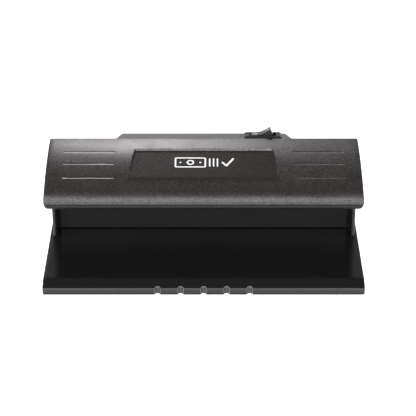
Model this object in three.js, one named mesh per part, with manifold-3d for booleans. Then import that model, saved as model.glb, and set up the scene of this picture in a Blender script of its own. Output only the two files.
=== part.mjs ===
// Counterfeit bill detector: a hooded ultraviolet viewer for the shop counter.
// Millimetres, +Z up, the user stands at -Y. The origin is on the counter, under the centre of the object.
import * as THREE from "three";
import { mergeVertices } from "three/addons/utils/BufferGeometryUtils.js";
import Module from "manifold-3d";

const wasm = await Module();
wasm.setup();

// ---------------------------------------------------------------- driving dimensions
const WIDTH = 262;
const DEPTH = 125;
const GAP = 0.3; // between pieces that touch on the real object
const WALL = 2.4; // base, housing and lamp tray
const COVER_WALL = 3;

// Distances named "back" run from the front edge of the base towards the rear.
const BASE_BOTTOM = 1.5;
const FRONT_EDGE_TOP = 7.6;
const FLOOR_TOP = 10.9;
const BEVEL_RUN = 10.9;
const FRONT_WALL = 4.6;
const PLATE_BOTTOM = 1.8;
const PLATE_TOP = 3.8;

const CHEEK_BACK = 75.6;
const CHEEK_OUTER = 128.1;
const CHEEK_INNER = 125.2;
const PANEL_BACK = 90;
const PANEL_HALF = 122.8;
const HOUSING_REAR = 115;
const HOUSING_BOTTOM = FLOOR_TOP + GAP;
const HOUSING_TOP = 58;

const RIDGE_REAR = 122.5;
const RIDGE_HALF_FRONT = 74.9;
const RIDGE_HALF_REAR = 69.5;
const RIDGE_TILT = THREE.MathUtils.degToRad(9.5);

const TRAY_BOTTOM = 58.3;
const TRAY_FLOOR = 60.7;
const TRAY_TOP = 63;
const TRAY_HALF = 130.7;
const LIP_RADIUS = 3.4;

const COVER_BOTTOM = 63.3;
const COVER_FRONT = 38.6;
const COVER_LEAN = Math.tan(THREE.MathUtils.degToRad(2));
const NOSE_RADIUS = 11.5;
const NOSE_ANGLE = THREE.MathUtils.degToRad(27.8); // slope where the nose meets the long arc
const NOSE_CENTRE = [COVER_FRONT + NOSE_RADIUS, COVER_BOTTOM];
const CREST_BACK = 107;
const ARC_RADIUS = (CREST_BACK - NOSE_CENTRE[0]) / Math.sin(NOSE_ANGLE) + NOSE_RADIUS;
const ARC_CENTRE_Z = NOSE_CENTRE[1] + (NOSE_RADIUS - ARC_RADIUS) * Math.cos(NOSE_ANGLE);
const CREST = ARC_CENTRE_Z + ARC_RADIUS;
const SHOULDER_TOP = 74;

const TUBE_BACK = 73;
const TUBE_AXIS = 70.2;
const TUBE_RADIUS = 8;
const TUBE_HALF = 106.05; // cap face to cap face, halved
const PIN_END = 113.1;
const PIN_SPACING = 4.75;
const PIN_RADIUS = 1.18;
const HOLDER_START = 106.6;
const HOLDER_END = 116.6;

const SWITCH_X = 49.95;
const SWITCH_BACK = 114.75;
const ROCKER_TILT = THREE.MathUtils.degToRad(17.5);
const CONTACT_TILT = THREE.MathUtils.degToRad(8);

const INLET_X = 50;
const INLET_Z = 33;

const BOARD_BACK = 95.2;
const BOARD_THICKNESS = 1.6;

const SCREW_RADIUS = 1.5;
const SCREW_HOLE = SCREW_RADIUS + GAP;
const COUNTERSINK_RADIUS = 3.2;

const y = (back) => back - DEPTH / 2;

// ---------------------------------------------------------------- materials
function material(color, roughness, metalness = 0) {
  return new THREE.MeshStandardMaterial({ color, roughness, metalness });
}
const textured = material("#5a5657", 0.6);
const smooth = material("#1b1b1c", 0.45);
const black = material("#151515", 0.5);
const rubber = material("#101010", 0.9);
const steel = material("#b8b9bb", 0.35, 1);
const brass = material("#c4a35a", 0.35, 1);
const aluminium = material("#d4d6d8", 0.25, 1);
const whitePlastic = material("#e6e4de", 0.5);
const violetGlass = material("#2a2340", 0.1);
const laminate = material("#2f6b3c", 0.5);
const ferrite = material("#38383a", 0.7);
const copper = material("#b06a35", 0.4, 1);
const sleeve = material("#26324a", 0.4);
const film = material("#c79a2e", 0.4);
const redWire = material("#8c2320", 0.5);
const blueWire = material("#234a8c", 0.5);

// ---------------------------------------------------------------- solids
function solid(geometry) {
  const bare = geometry.clone();
  bare.deleteAttribute("normal");
  bare.deleteAttribute("uv");
  const merged = mergeVertices(bare, 1e-4);
  return new wasm.Manifold(
    new wasm.Mesh({
      numProp: 3,
      vertProperties: merged.getAttribute("position").array,
      triVerts: new Uint32Array(merged.index.array),
    }),
  );
}

function geometryOf(made) {
  const mesh = made.getMesh();
  const geometry = new THREE.BufferGeometry();
  geometry.setAttribute("position", new THREE.BufferAttribute(mesh.vertProperties, 3));
  geometry.setIndex(new THREE.BufferAttribute(mesh.triVerts, 1));
  geometry.computeVertexNormals();
  return geometry;
}

function joined(first, ...others) {
  return others.reduce((whole, other) => whole.add(other), first);
}

function cut(whole, ...tools) {
  return tools.reduce((left, tool) => left.subtract(tool), whole);
}

function block(x0, x1, back0, back1, z0, z1) {
  const box = new THREE.BoxGeometry(x1 - x0, back1 - back0, z1 - z0);
  box.translate((x0 + x1) / 2, y((back0 + back1) / 2), (z0 + z1) / 2);
  return solid(box);
}

function cylinder(radius, length, segments, axis, at, topRadius = radius) {
  const made = new THREE.CylinderGeometry(topRadius, radius, length, segments);
  if (axis === "x") made.rotateZ(-Math.PI / 2);
  if (axis === "z") made.rotateX(Math.PI / 2);
  made.translate(...at);
  return solid(made);
}

function flatShape(points) {
  return new THREE.Shape(points.map(([a, b]) => new THREE.Vector2(a, b)));
}

// A profile of [back, z] points, extruded along X and centred on X = 0.
function acrossGeometry(profile, halfWidth) {
  const made = new THREE.ExtrudeGeometry(flatShape(profile.map(([back, z]) => [y(back), z])), {
    depth: 2 * halfWidth,
    bevelEnabled: false,
  });
  made.translate(0, 0, -halfWidth);
  const basis = new THREE.Matrix4().makeBasis(
    new THREE.Vector3(0, 1, 0),
    new THREE.Vector3(0, 0, 1),
    new THREE.Vector3(1, 0, 0),
  );
  return made.applyMatrix4(basis);
}

function across(profile, halfWidth) {
  return solid(acrossGeometry(profile, halfWidth));
}

// A plan of [x, back] points, extruded upwards.
function upright(plan, z0, z1) {
  const made = new THREE.ExtrudeGeometry(flatShape(plan.map(([x, back]) => [x, y(back)])), {
    depth: z1 - z0,
    bevelEnabled: false,
  });
  made.translate(0, 0, z0);
  return solid(made);
}

function roundedPlan(half, back0, back1, radius) {
  const shape = new THREE.Shape();
  const low = y(back0);
  const high = y(back1);
  shape.moveTo(-half + radius, low);
  shape.lineTo(half - radius, low);
  shape.absarc(half - radius, low + radius, radius, -Math.PI / 2, 0, false);
  shape.lineTo(half, high - radius);
  shape.absarc(half - radius, high - radius, radius, 0, Math.PI / 2, false);
  shape.lineTo(-half + radius, high);
  shape.absarc(-half + radius, high - radius, radius, Math.PI / 2, Math.PI, false);
  shape.lineTo(-half, low + radius);
  shape.absarc(-half + radius, low + radius, radius, Math.PI, 1.5 * Math.PI, false);
  return shape;
}

function slab(shape, z0, z1, curveSegments = 4) {
  const made = new THREE.ExtrudeGeometry(shape, { depth: z1 - z0, bevelEnabled: false, curveSegments });
  made.translate(0, 0, z0);
  return solid(made);
}

// A solid of revolution about Z from [radius, z] points that start and end on the axis.
function turned(profile, segments, at) {
  const made = new THREE.LatheGeometry(profile.map(([r, z]) => new THREE.Vector2(r, z)), segments);
  made.rotateX(Math.PI / 2);
  made.translate(...at);
  return solid(made);
}

// The trapezoid of the raised ridge behind the crest, grown or shrunk by an inset.
function ridgePlan(frontBack, inset) {
  return [
    [-RIDGE_HALF_FRONT + inset, frontBack],
    [RIDGE_HALF_FRONT - inset, frontBack],
    [RIDGE_HALF_REAR - inset, RIDGE_REAR - inset],
    [-RIDGE_HALF_REAR + inset, RIDGE_REAR - inset],
  ];
}

// ---------------------------------------------------------------- assembly helpers
const detector = new THREE.Group();

function piece(name, made, surface, parent = detector) {
  const geometry = made.isBufferGeometry ? made : geometryOf(made);
  const mesh = new THREE.Mesh(geometry, surface);
  mesh.name = name;
  parent.add(mesh);
  return mesh;
}

const SIDES = [
  ["left", -1],
  ["right", 1],
];

// ---------------------------------------------------------------- base
const FEET = [
  ["front", 14],
  ["rear", 110],
];
const FOOT_X = 110;
const FRONT_SCREW = { x: 112, back: 30 };
const REAR_SCREW = { x: 121.3, back: 103 };
const NOTCH_PITCH = 18.7;
const NOTCH_RADIUS = 2;
const NOTCH_CENTRE = 0.1;
const BASE_REAR_WALL = 122.6;
const BASE_CORNER = 1.7;
const BASE_BOSS_RADIUS = 3.8;
const FOOT_HOLE = 2.5;

function baseTray() {
  const outerProfile = [
    [0, BASE_BOTTOM],
    [DEPTH, BASE_BOTTOM],
    [DEPTH, FLOOR_TOP],
    [BEVEL_RUN, FLOOR_TOP],
    [0.5, FRONT_EDGE_TOP + 0.05],
    [0, FRONT_EDGE_TOP - 0.45],
  ];
  const hollowProfile = [
    [FRONT_WALL, BASE_BOTTOM - 1],
    [BASE_REAR_WALL, BASE_BOTTOM - 1],
    [BASE_REAR_WALL, FLOOR_TOP - WALL],
    [BEVEL_RUN, FLOOR_TOP - WALL],
    [FRONT_WALL, FRONT_EDGE_TOP - 1.2],
  ];
  const outline = slab(roundedPlan(WIDTH / 2, 0, DEPTH, BASE_CORNER), BASE_BOTTOM, FLOOR_TOP);
  let tray = across(outerProfile, WIDTH / 2).intersect(outline);
  tray = cut(tray, across(hollowProfile, WIDTH / 2 - WALL));
  for (let i = -2; i <= 2; i += 1) {
    tray = cut(tray, cylinder(NOTCH_RADIUS, 20, 16, "z", [i * NOTCH_PITCH, y(NOTCH_CENTRE), 8]));
  }
  for (const [, side] of SIDES) {
    for (const screw of [FRONT_SCREW, REAR_SCREW]) {
      const centre = [side * screw.x, y(screw.back)];
      tray = joined(tray, cylinder(BASE_BOSS_RADIUS, 4.6, 12, "z", [...centre, PLATE_TOP + GAP + 2.3]));
      tray = cut(tray, cylinder(SCREW_HOLE, 4.4, 12, "z", [...centre, PLATE_TOP + 2.2]));
    }
    const through = [side * REAR_SCREW.x, y(REAR_SCREW.back), FLOOR_TOP];
    tray = cut(tray, cylinder(SCREW_HOLE, 12, 12, "z", through));
  }
  return tray;
}

function bottomPlate() {
  const shape = roundedPlan(WIDTH / 2 - WALL - GAP, FRONT_WALL + GAP, BASE_REAR_WALL - GAP, 1.2);
  let plate = slab(shape, PLATE_BOTTOM, PLATE_TOP, 2);
  for (const [, side] of SIDES) {
    for (const screw of [FRONT_SCREW, REAR_SCREW]) {
      const centre = [side * screw.x, y(screw.back)];
      plate = cut(
        plate,
        cylinder(SCREW_HOLE, 6, 12, "z", [...centre, PLATE_BOTTOM]),
        cylinder(COUNTERSINK_RADIUS, 1.7, 12, "z", [...centre, PLATE_BOTTOM + 0.8], SCREW_HOLE),
      );
    }
    for (const [, back] of FEET) {
      plate = cut(plate, cylinder(FOOT_HOLE, 6, 12, "z", [side * FOOT_X, y(back), PLATE_BOTTOM]));
    }
  }
  return plate;
}

// A rubber foot with a neck and a button head that is pulled through the plate.
function foot(side, back) {
  const profile = [
    [0, 0],
    [5.2, 0],
    [6, 0.8],
    [6, PLATE_BOTTOM - GAP],
    [2.2, PLATE_BOTTOM - GAP],
    [2.2, PLATE_TOP + GAP],
    [3.3, PLATE_TOP + GAP],
    [2.4, PLATE_TOP + 1.6],
    [0, PLATE_TOP + 1.6],
  ];
  return turned(profile, 20, [side * FOOT_X, y(back), 0]);
}

// A countersunk screw that points up; its head lies flush under the plate.
function countersunkScrew(length, at) {
  const profile = [
    [0, 0],
    [2.8, 0],
    [2.8, 0.25],
    [SCREW_RADIUS, 1.5],
    [SCREW_RADIUS, length - 1],
    [0, length],
  ];
  const recess = solid(new THREE.BoxGeometry(3, 0.7, 1.2).translate(...at));
  const recessAcross = solid(new THREE.BoxGeometry(0.7, 3, 1.2).translate(...at));
  return cut(turned(profile, 12, at), recess, recessAcross);
}

piece("base_tray", baseTray(), smooth);
piece("bottom_plate", bottomPlate(), black);
for (const [name, side] of SIDES) {
  for (const [end, back] of FEET) piece(`foot_${end}_${name}`, foot(side, back), rubber);
  const front = [side * FRONT_SCREW.x, y(FRONT_SCREW.back), PLATE_BOTTOM];
  piece(`base_screw_front_${name}`, countersunkScrew(6, front), steel);
  const rear = [side * REAR_SCREW.x, y(REAR_SCREW.back), PLATE_BOTTOM];
  piece(`base_screw_rear_${name}`, countersunkScrew(18, rear), steel);
}

// ---------------------------------------------------------------- rear housing
const BOARD = { x0: -106, x1: -16, z0: 16, z1: 52 };
const BOARD_SCREWS = [
  ["left", BOARD.x0 + 5],
  ["right", BOARD.x1 - 5],
];
const BOARD_SCREW_Z = 34;
const INLET_HALF_X = 12;
const INLET_HALF_Z = 7.5;
const BOARD_SCREW_RADIUS = 1.3;
const VENT = { first: 86, pitch: 6, count: 6, half: 1.1, z0: 22, z1: 48 };
const CHEEK_CHAMFER = 1.2;
const HOUSING_POST = { radius: 4.8, height: 12 };
const BOARD_BOSS_RADIUS = 3.2;

function rearHousing() {
  const outer = [
    [-CHEEK_OUTER, CHEEK_BACK + CHEEK_CHAMFER],
    [-CHEEK_OUTER + CHEEK_CHAMFER, CHEEK_BACK],
    [-CHEEK_INNER - 0.8, CHEEK_BACK],
    [-CHEEK_INNER, CHEEK_BACK + 1],
    [-PANEL_HALF, PANEL_BACK],
    [PANEL_HALF, PANEL_BACK],
    [CHEEK_INNER, CHEEK_BACK + 1],
    [CHEEK_INNER + 0.8, CHEEK_BACK],
    [CHEEK_OUTER - CHEEK_CHAMFER, CHEEK_BACK],
    [CHEEK_OUTER, CHEEK_BACK + CHEEK_CHAMFER],
    [CHEEK_OUTER, HOUSING_REAR],
    [-CHEEK_OUTER, HOUSING_REAR],
  ];
  const innerHalf = CHEEK_OUTER - WALL;
  let shell = joined(
    upright(outer, HOUSING_BOTTOM, HOUSING_TOP),
    upright(ridgePlan(CREST_BACK, 0), HOUSING_BOTTOM, HOUSING_TOP),
  );
  shell = cut(
    shell,
    block(-innerHalf, innerHalf, PANEL_BACK + WALL, HOUSING_REAR - WALL, 0, 80),
    upright(ridgePlan(PANEL_BACK + 10, WALL), 0, 80),
  );
  for (const [, side] of SIDES) {
    const centre = [side * REAR_SCREW.x, y(REAR_SCREW.back)];
    const postMiddle = HOUSING_BOTTOM + HOUSING_POST.height / 2;
    shell = joined(shell, cylinder(HOUSING_POST.radius, HOUSING_POST.height, 14, "z", [...centre, postMiddle]));
    shell = cut(shell, cylinder(SCREW_HOLE, 22, 12, "z", [...centre, HOUSING_BOTTOM]));
    for (let i = 0; i < VENT.count; i += 1) {
      const x = side * (VENT.first + i * VENT.pitch);
      const vent = block(x - VENT.half, x + VENT.half, HOUSING_REAR - 5, HOUSING_REAR + 5, VENT.z0, VENT.z1);
      shell = cut(shell, vent);
    }
  }
  for (const [, x] of BOARD_SCREWS) {
    const boss = [x, y(PANEL_BACK + WALL + 1.1), BOARD_SCREW_Z];
    const hole = [x, y(BOARD_BACK - 1.4), BOARD_SCREW_Z];
    shell = joined(shell, cylinder(BOARD_BOSS_RADIUS, 3, 12, "y", boss));
    shell = cut(shell, cylinder(BOARD_SCREW_RADIUS + GAP, 3.4, 10, "y", hole));
  }
  const inletHole = block(
    INLET_X - INLET_HALF_X - GAP,
    INLET_X + INLET_HALF_X + GAP,
    RIDGE_REAR - 6,
    RIDGE_REAR + 6,
    INLET_Z - INLET_HALF_Z - GAP,
    INLET_Z + INLET_HALF_Z + GAP,
  );
  return cut(shell, inletHole);
}

piece("rear_housing", rearHousing(), black);

// ---------------------------------------------------------------- power inlet
const INLET_PIN_SPACING = 8.6;
const INLET_PIN_RADIUS = 1.2;
const INLET_PIN_LENGTH = 22.5;
const FLANGE = { halfX: 15, halfZ: 10, thickness: 1.8 };
const SOCKET = { radius: 4.1, halfX: 3.4, halfZ: 3.9, depth: 11 };
const INLET_LENGTH = 18;

// A two-pole inlet socket: flange, body and a cavity with round ends.
function inletBody() {
  const face = RIDGE_REAR + GAP;
  const flange = block(
    INLET_X - FLANGE.halfX,
    INLET_X + FLANGE.halfX,
    face,
    face + FLANGE.thickness,
    INLET_Z - FLANGE.halfZ,
    INLET_Z + FLANGE.halfZ,
  );
  const body = block(
    INLET_X - INLET_HALF_X,
    INLET_X + INLET_HALF_X,
    face - INLET_LENGTH,
    face + 0.5,
    INLET_Z - INLET_HALF_Z,
    INLET_Z + INLET_HALF_Z,
  );
  const middle = block(
    INLET_X - SOCKET.halfX,
    INLET_X + SOCKET.halfX,
    face - SOCKET.depth,
    face + 5,
    INLET_Z - SOCKET.halfZ,
    INLET_Z + SOCKET.halfZ,
  );
  let made = cut(joined(flange, body), middle);
  for (const [, side] of SIDES) {
    const x = INLET_X + (side * INLET_PIN_SPACING) / 2;
    made = cut(
      made,
      cylinder(SOCKET.radius, SOCKET.depth + 5, 20, "y", [x, y(face + (5 - SOCKET.depth) / 2), INLET_Z]),
      cylinder(INLET_PIN_RADIUS + GAP, 24, 12, "y", [x, y(face - 12), INLET_Z]),
    );
  }
  return made;
}

piece("power_inlet", inletBody(), black);
for (const [name, side] of SIDES) {
  const x = INLET_X + (side * INLET_PIN_SPACING) / 2;
  const middle = [x, y(RIDGE_REAR - 12.5), INLET_Z];
  piece(`inlet_pin_${name}`, cylinder(INLET_PIN_RADIUS, INLET_PIN_LENGTH, 12, "y", middle), brass);
}

// ---------------------------------------------------------------- lamp tray and hood cover
const WINDOW = { half: 106, back0: 56, back1: 88 };
const PIN_NOTCH = { half: PIN_END + 1.2, depth: 3.4 };
const REAR_OPENING = { half: 116, back0: 94.5, back1: 110.3 };
const RIDGE_OPENING = { half: 64, back0: 100, back1: 118 };
const HOOD_SCREW = { x: 120, back: 50 };
const HOOD_POST_RADIUS = 3.6;
const REAR_TAB = { x: 100, half: 6, back0: 109.5, back1: 111.7, z: 68, top: 72 };

// Openings right through the tray: the lamp window, the notches for the tube's pins and two for the wires.
function trayOpenings() {
  return [
    block(-WINDOW.half, WINDOW.half, WINDOW.back0, WINDOW.back1, 50, 100),
    block(-PIN_NOTCH.half, PIN_NOTCH.half, TUBE_BACK - PIN_NOTCH.depth, TUBE_BACK + PIN_NOTCH.depth, 50, 100),
    block(-REAR_OPENING.half, REAR_OPENING.half, REAR_OPENING.back0, REAR_OPENING.back1, 50, 100),
    block(-RIDGE_OPENING.half, RIDGE_OPENING.half, RIDGE_OPENING.back0, RIDGE_OPENING.back1, 50, 100),
  ];
}

function lampTray() {
  const plan = roundedPlan(TRAY_HALF, COVER_FRONT + 0.1, HOUSING_REAR, LIP_RADIUS + 0.3);
  const lip = new THREE.ExtrudeGeometry(plan, {
    depth: 10,
    bevelThickness: LIP_RADIUS,
    bevelSize: LIP_RADIUS,
    bevelOffset: -LIP_RADIUS,
    bevelSegments: 4,
    curveSegments: 4,
  });
  lip.translate(0, 0, TRAY_BOTTOM + LIP_RADIUS);
  let tray = joined(solid(lip), upright(ridgePlan(CREST_BACK, 0), TRAY_BOTTOM, TRAY_TOP));
  const inside = TRAY_HALF - WALL;
  tray = cut(
    tray,
    block(-200, 200, -50, 200, TRAY_TOP, 100),
    block(-inside, inside, COVER_FRONT + WALL, HOUSING_REAR - WALL, TRAY_FLOOR, 100),
    upright(ridgePlan(HOUSING_REAR - 8, WALL), TRAY_FLOOR, 100),
    ...trayOpenings(),
  );
  for (const [, side] of SIDES) {
    const x = side * REAR_TAB.x;
    const left = x - REAR_TAB.half;
    const right = x + REAR_TAB.half;
    tray = joined(tray, block(left, right, REAR_TAB.back0, REAR_TAB.back1, TRAY_BOTTOM, REAR_TAB.top));
    const hole = [side * HOOD_SCREW.x, y(HOOD_SCREW.back)];
    tray = cut(
      tray,
      cylinder(SCREW_HOLE, 8, 12, "y", [x, y(REAR_TAB.back0 + 1), REAR_TAB.z]),
      cylinder(SCREW_HOLE, 12, 12, "z", [...hole, TRAY_FLOOR]),
      cylinder(COUNTERSINK_RADIUS, 1.7, 12, "z", [...hole, TRAY_BOTTOM + 0.8], SCREW_HOLE),
    );
  }
  return tray;
}

// The side view of the hood: a nose arc, a long arc up to the crest and a rear slope.
function hoodProfile(inset, bottom) {
  const points = [[COVER_FRONT + inset, bottom]];
  const noseSteps = 8;
  for (let i = 0; i <= noseSteps; i += 1) {
    const angle = Math.PI - (Math.PI / 2 - NOSE_ANGLE) * (i / noseSteps);
    const r = NOSE_RADIUS - inset;
    points.push([NOSE_CENTRE[0] + r * Math.cos(angle), NOSE_CENTRE[1] + r * Math.sin(angle)]);
  }
  const arcSteps = 14;
  for (let i = 1; i <= arcSteps; i += 1) {
    const angle = Math.PI / 2 + NOSE_ANGLE * (1 - i / arcSteps);
    const r = ARC_RADIUS - inset;
    points.push([CREST_BACK + r * Math.cos(angle), ARC_CENTRE_Z + r * Math.sin(angle)]);
  }
  if (inset === 0) points.push([CREST_BACK + 1.6, CREST - 0.6]);
  points.push([HOUSING_REAR - inset, SHOULDER_TOP - 0.21 * inset]);
  points.push([HOUSING_REAR - inset, bottom]);
  return points;
}

// Pulls the end walls in with height, as the moulding's draft does.
function leanEnds(geometry, half) {
  const place = geometry.getAttribute("position");
  for (let i = 0; i < place.count; i += 1) {
    const leaned = half - COVER_LEAN * (place.getZ(i) - HOUSING_TOP);
    place.setX(i, (place.getX(i) / half) * leaned);
  }
  return geometry;
}

function ridgeTop(back, drop) {
  return CREST - 0.2 - (back - CREST_BACK) * Math.tan(RIDGE_TILT) - drop;
}

const SWITCH_FRAME = new THREE.Matrix4()
  .makeTranslation(SWITCH_X, y(SWITCH_BACK), ridgeTop(SWITCH_BACK, 0))
  .multiply(new THREE.Matrix4().makeRotationX(-RIDGE_TILT));

const SWITCH_CUT_OUT = { width: 27.5, depth: 11.6 };
const RECESS = { back0: 57, back1: 91, half0: 62, half1: 57.9, step: 1.6 };
const GROOVE = { x0: 73.5, x1: 116.5, width: 1.5, depth: 0.7, backs: [56.8, 71.4, 86.3] };

function surfaceHeight(back) {
  return ARC_CENTRE_Z + Math.sqrt(ARC_RADIUS ** 2 - (back - CREST_BACK) ** 2);
}

// The shallow field for the emblem: a flat floor that runs out at its lower edge.
function emblemRecess() {
  const low = surfaceHeight(RECESS.back0);
  const high = surfaceHeight(RECESS.back1) - RECESS.step;
  const wedge = across(
    [
      [RECESS.back0, low],
      [RECESS.back1, high],
      [RECESS.back1, high + 10],
      [RECESS.back0, high + 10],
    ],
    RECESS.half0 + 5,
  );
  const plan = [
    [-RECESS.half0, RECESS.back0 - 0.1],
    [RECESS.half0, RECESS.back0 - 0.1],
    [RECESS.half1, RECESS.back1 + 0.1],
    [-RECESS.half1, RECESS.back1 + 0.1],
  ];
  return wedge.intersect(upright(plan, 0, 200));
}

function hoodCover() {
  const half = WIDTH / 2;
  const shell = solid(leanEnds(acrossGeometry(hoodProfile(0, COVER_BOTTOM), half), half));
  const ridge = upright(ridgePlan(CREST_BACK, 0), COVER_BOTTOM, 100).intersect(
    across(
      [
        [CREST_BACK - 10, COVER_BOTTOM - 5],
        [RIDGE_REAR + 5, COVER_BOTTOM - 5],
        [RIDGE_REAR + 5, ridgeTop(RIDGE_REAR + 5, 0)],
        [CREST_BACK - 10, ridgeTop(CREST_BACK - 10, 0)],
      ],
      90,
    ),
  );
  const innerHalf = half - COVER_WALL;
  const cavityProfile = hoodProfile(COVER_WALL, COVER_BOTTOM - 5);
  const cavity = solid(leanEnds(acrossGeometry(cavityProfile, innerHalf), innerHalf));
  const ridgeCavity = upright(ridgePlan(CREST_BACK - 8, COVER_WALL), COVER_BOTTOM - 5, 100).intersect(
    across(
      [
        [CREST_BACK - 9, COVER_BOTTOM - 6],
        [RIDGE_REAR + 5, COVER_BOTTOM - 6],
        [RIDGE_REAR + 5, ridgeTop(RIDGE_REAR + 5, COVER_WALL)],
        [CREST_BACK - 1, ridgeTop(CREST_BACK - 1, COVER_WALL)],
        [CREST_BACK - 9, ridgeTop(CREST_BACK - 1, COVER_WALL) - 0.6],
      ],
      90,
    ),
  );
  let cover = cut(joined(shell, ridge), cavity, ridgeCavity, emblemRecess());
  const cutOut = new THREE.BoxGeometry(SWITCH_CUT_OUT.width, SWITCH_CUT_OUT.depth, 20);
  const switchHole = cutOut.applyMatrix4(SWITCH_FRAME);
  cover = cut(cover, solid(switchHole));
  for (const [, side] of SIDES) {
    const post = [side * HOOD_SCREW.x, y(HOOD_SCREW.back)];
    const postTop = surfaceHeight(HOOD_SCREW.back) - 2;
    const postBottom = TRAY_FLOOR + GAP;
    const middle = (postTop + postBottom) / 2;
    cover = joined(cover, cylinder(HOOD_POST_RADIUS, postTop - postBottom, 12, "z", [...post, middle]));
    cover = cut(
      cover,
      cylinder(SCREW_HOLE, 9, 12, "z", [...post, postBottom + 4]),
      cylinder(SCREW_HOLE, 10, 12, "y", [side * REAR_TAB.x, y(HOUSING_REAR - 2), REAR_TAB.z]),
    );
    for (const back of GROOVE.backs) {
      const bottom = surfaceHeight(back) - GROOVE.depth;
      const ends = [side * GROOVE.x0, side * GROOVE.x1].sort((a, b) => a - b);
      cover = cut(cover, block(...ends, back - GROOVE.width / 2, back + GROOVE.width / 2, bottom, bottom + 5));
    }
  }
  return cover;
}

const REFLECTOR = { half: 103, thickness: 0.7 };

// A thin folded sheet: one side follows the line, and the other lies a thickness away.
function foldedSheet(line, thickness) {
  const normal = (a, b) => {
    const length = Math.hypot(b[0] - a[0], b[1] - a[1]);
    return [-(b[1] - a[1]) / length, (b[0] - a[0]) / length];
  };
  const offset = line.map((point, i) => {
    const before = normal(line[Math.max(i - 1, 0)], line[Math.max(i, 1)]);
    const last = line.length - 1;
    const after = normal(line[Math.min(i, last - 1)], line[Math.min(i + 1, last)]);
    const sum = [before[0] + after[0], before[1] + after[1]];
    const scale = (2 * thickness) / (sum[0] ** 2 + sum[1] ** 2);
    return [point[0] + sum[0] * scale, point[1] + sum[1] * scale];
  });
  return [...line, ...offset.reverse()];
}

// The sheet's feet stand on the tray on both sides of the window, and its roof follows the hood.
function reflector() {
  const foot = TRAY_FLOOR + GAP;
  const line = [
    [51.5, foot],
    [57, foot],
    [59.5, 72.6],
    [65, 77.4],
    [80, 81.4],
    [85.8, 76.2],
    [88.2, foot],
    [92.6, foot],
  ];
  return across(foldedSheet(line, REFLECTOR.thickness), REFLECTOR.half);
}

// A pan-head screw along Y whose head lies at the rear.
function panScrew(x, z, headBack, length) {
  const profile = [
    [0, 0],
    [2.2, 0],
    [2.9, 0.7],
    [2.9, 1.8],
    [SCREW_RADIUS, 1.8],
    [SCREW_RADIUS, length - 1],
    [0, length],
  ];
  const made = new THREE.LatheGeometry(profile.map(([r, h]) => new THREE.Vector2(r, h)), 12);
  made.rotateX(Math.PI);
  made.translate(x, y(headBack), z);
  const slots = [new THREE.BoxGeometry(3, 1.4, 0.7), new THREE.BoxGeometry(0.7, 1.4, 3)];
  return cut(solid(made), ...slots.map((slot) => solid(slot.translate(x, y(headBack), z))));
}

piece("lamp_tray", lampTray(), black);
piece("hood_cover", hoodCover(), textured);
piece("reflector", reflector(), aluminium);
for (const [name, side] of SIDES) {
  const under = [side * HOOD_SCREW.x, y(HOOD_SCREW.back), TRAY_BOTTOM];
  piece(`hood_screw_front_${name}`, countersunkScrew(9.5, under), steel);
  const head = HOUSING_REAR + GAP + 1.8;
  piece(`hood_screw_rear_${name}`, panScrew(side * REAR_TAB.x, REAR_TAB.z, head, 9.5), steel);
}

// ---------------------------------------------------------------- lamp
const HOLDER_HALF = 8.2;
const HOLDER_TOP = 77.6;
const ROTOR_RADIUS = 6;
const ROTOR_START = 107;
const ROTOR_END = 111;
const ROTOR_SLOT_HALF = 1.5;
const PIN_SLOT_HALF = 1.6;
const CHAMBER = { start: 110, end: 114.2, half: 4.9, z0: 62.6, z1: 76.6 };

function sideBlock(side, x0, x1, back0, back1, z0, z1) {
  return side > 0 ? block(x0, x1, back0, back1, z0, z1) : block(-x1, -x0, back0, back1, z0, z1);
}

function lampHolder(side) {
  const bottom = TRAY_FLOOR + GAP;
  const start = side > 0 ? HOLDER_START : -HOLDER_END;
  const profile = [
    [TUBE_BACK - HOLDER_HALF, bottom],
    [TUBE_BACK + HOLDER_HALF, bottom],
    [TUBE_BACK + HOLDER_HALF, HOLDER_TOP - 4],
    [TUBE_BACK + HOLDER_HALF - 3, HOLDER_TOP],
    [TUBE_BACK - HOLDER_HALF + 5, HOLDER_TOP],
    [TUBE_BACK - HOLDER_HALF, HOLDER_TOP - 5],
  ];
  const width = HOLDER_END - HOLDER_START;
  const body = solid(acrossGeometry(profile, width / 2).translate(start + width / 2, 0, 0));
  const axis = [side * (HOLDER_START + 2), y(TUBE_BACK), TUBE_AXIS];
  return cut(
    body,
    cylinder(ROTOR_RADIUS + GAP, 9, 28, "x", axis),
    sideBlock(side, 100, PIN_END + 0.9, TUBE_BACK - PIN_SLOT_HALF, TUBE_BACK + PIN_SLOT_HALF, 50, TUBE_AXIS),
    sideBlock(
      side,
      CHAMBER.start,
      CHAMBER.end,
      TUBE_BACK - CHAMBER.half,
      TUBE_BACK + CHAMBER.half,
      CHAMBER.z0,
      CHAMBER.z1,
    ),
  );
}

// The rotor turns with the tube's pins; its slot faces the front while the tube is locked.
function rotor(side) {
  const middle = (side * (ROTOR_START + ROTOR_END)) / 2;
  const disc = cylinder(ROTOR_RADIUS, ROTOR_END - ROTOR_START, 28, "x", [middle, y(TUBE_BACK), TUBE_AXIS]);
  const slotBottom = TUBE_AXIS - ROTOR_SLOT_HALF;
  const slotTop = TUBE_AXIS + ROTOR_SLOT_HALF;
  const slot = sideBlock(side, 100, 120, TUBE_BACK - 9, TUBE_BACK + 3.9, slotBottom, slotTop);
  return cut(disc, slot);
}

function turnedAlongX(profile, segments) {
  const made = new THREE.LatheGeometry(profile.map(([r, h]) => new THREE.Vector2(r, h)), segments);
  made.rotateZ(-Math.PI / 2);
  made.translate(0, y(TUBE_BACK), TUBE_AXIS);
  return made;
}

const GLASS_HALF = 94;
const PIN_START = TUBE_HALF - 4.5;
const TUBE_ENDS = [
  ["front", -1],
  ["rear", 1],
];

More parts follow.
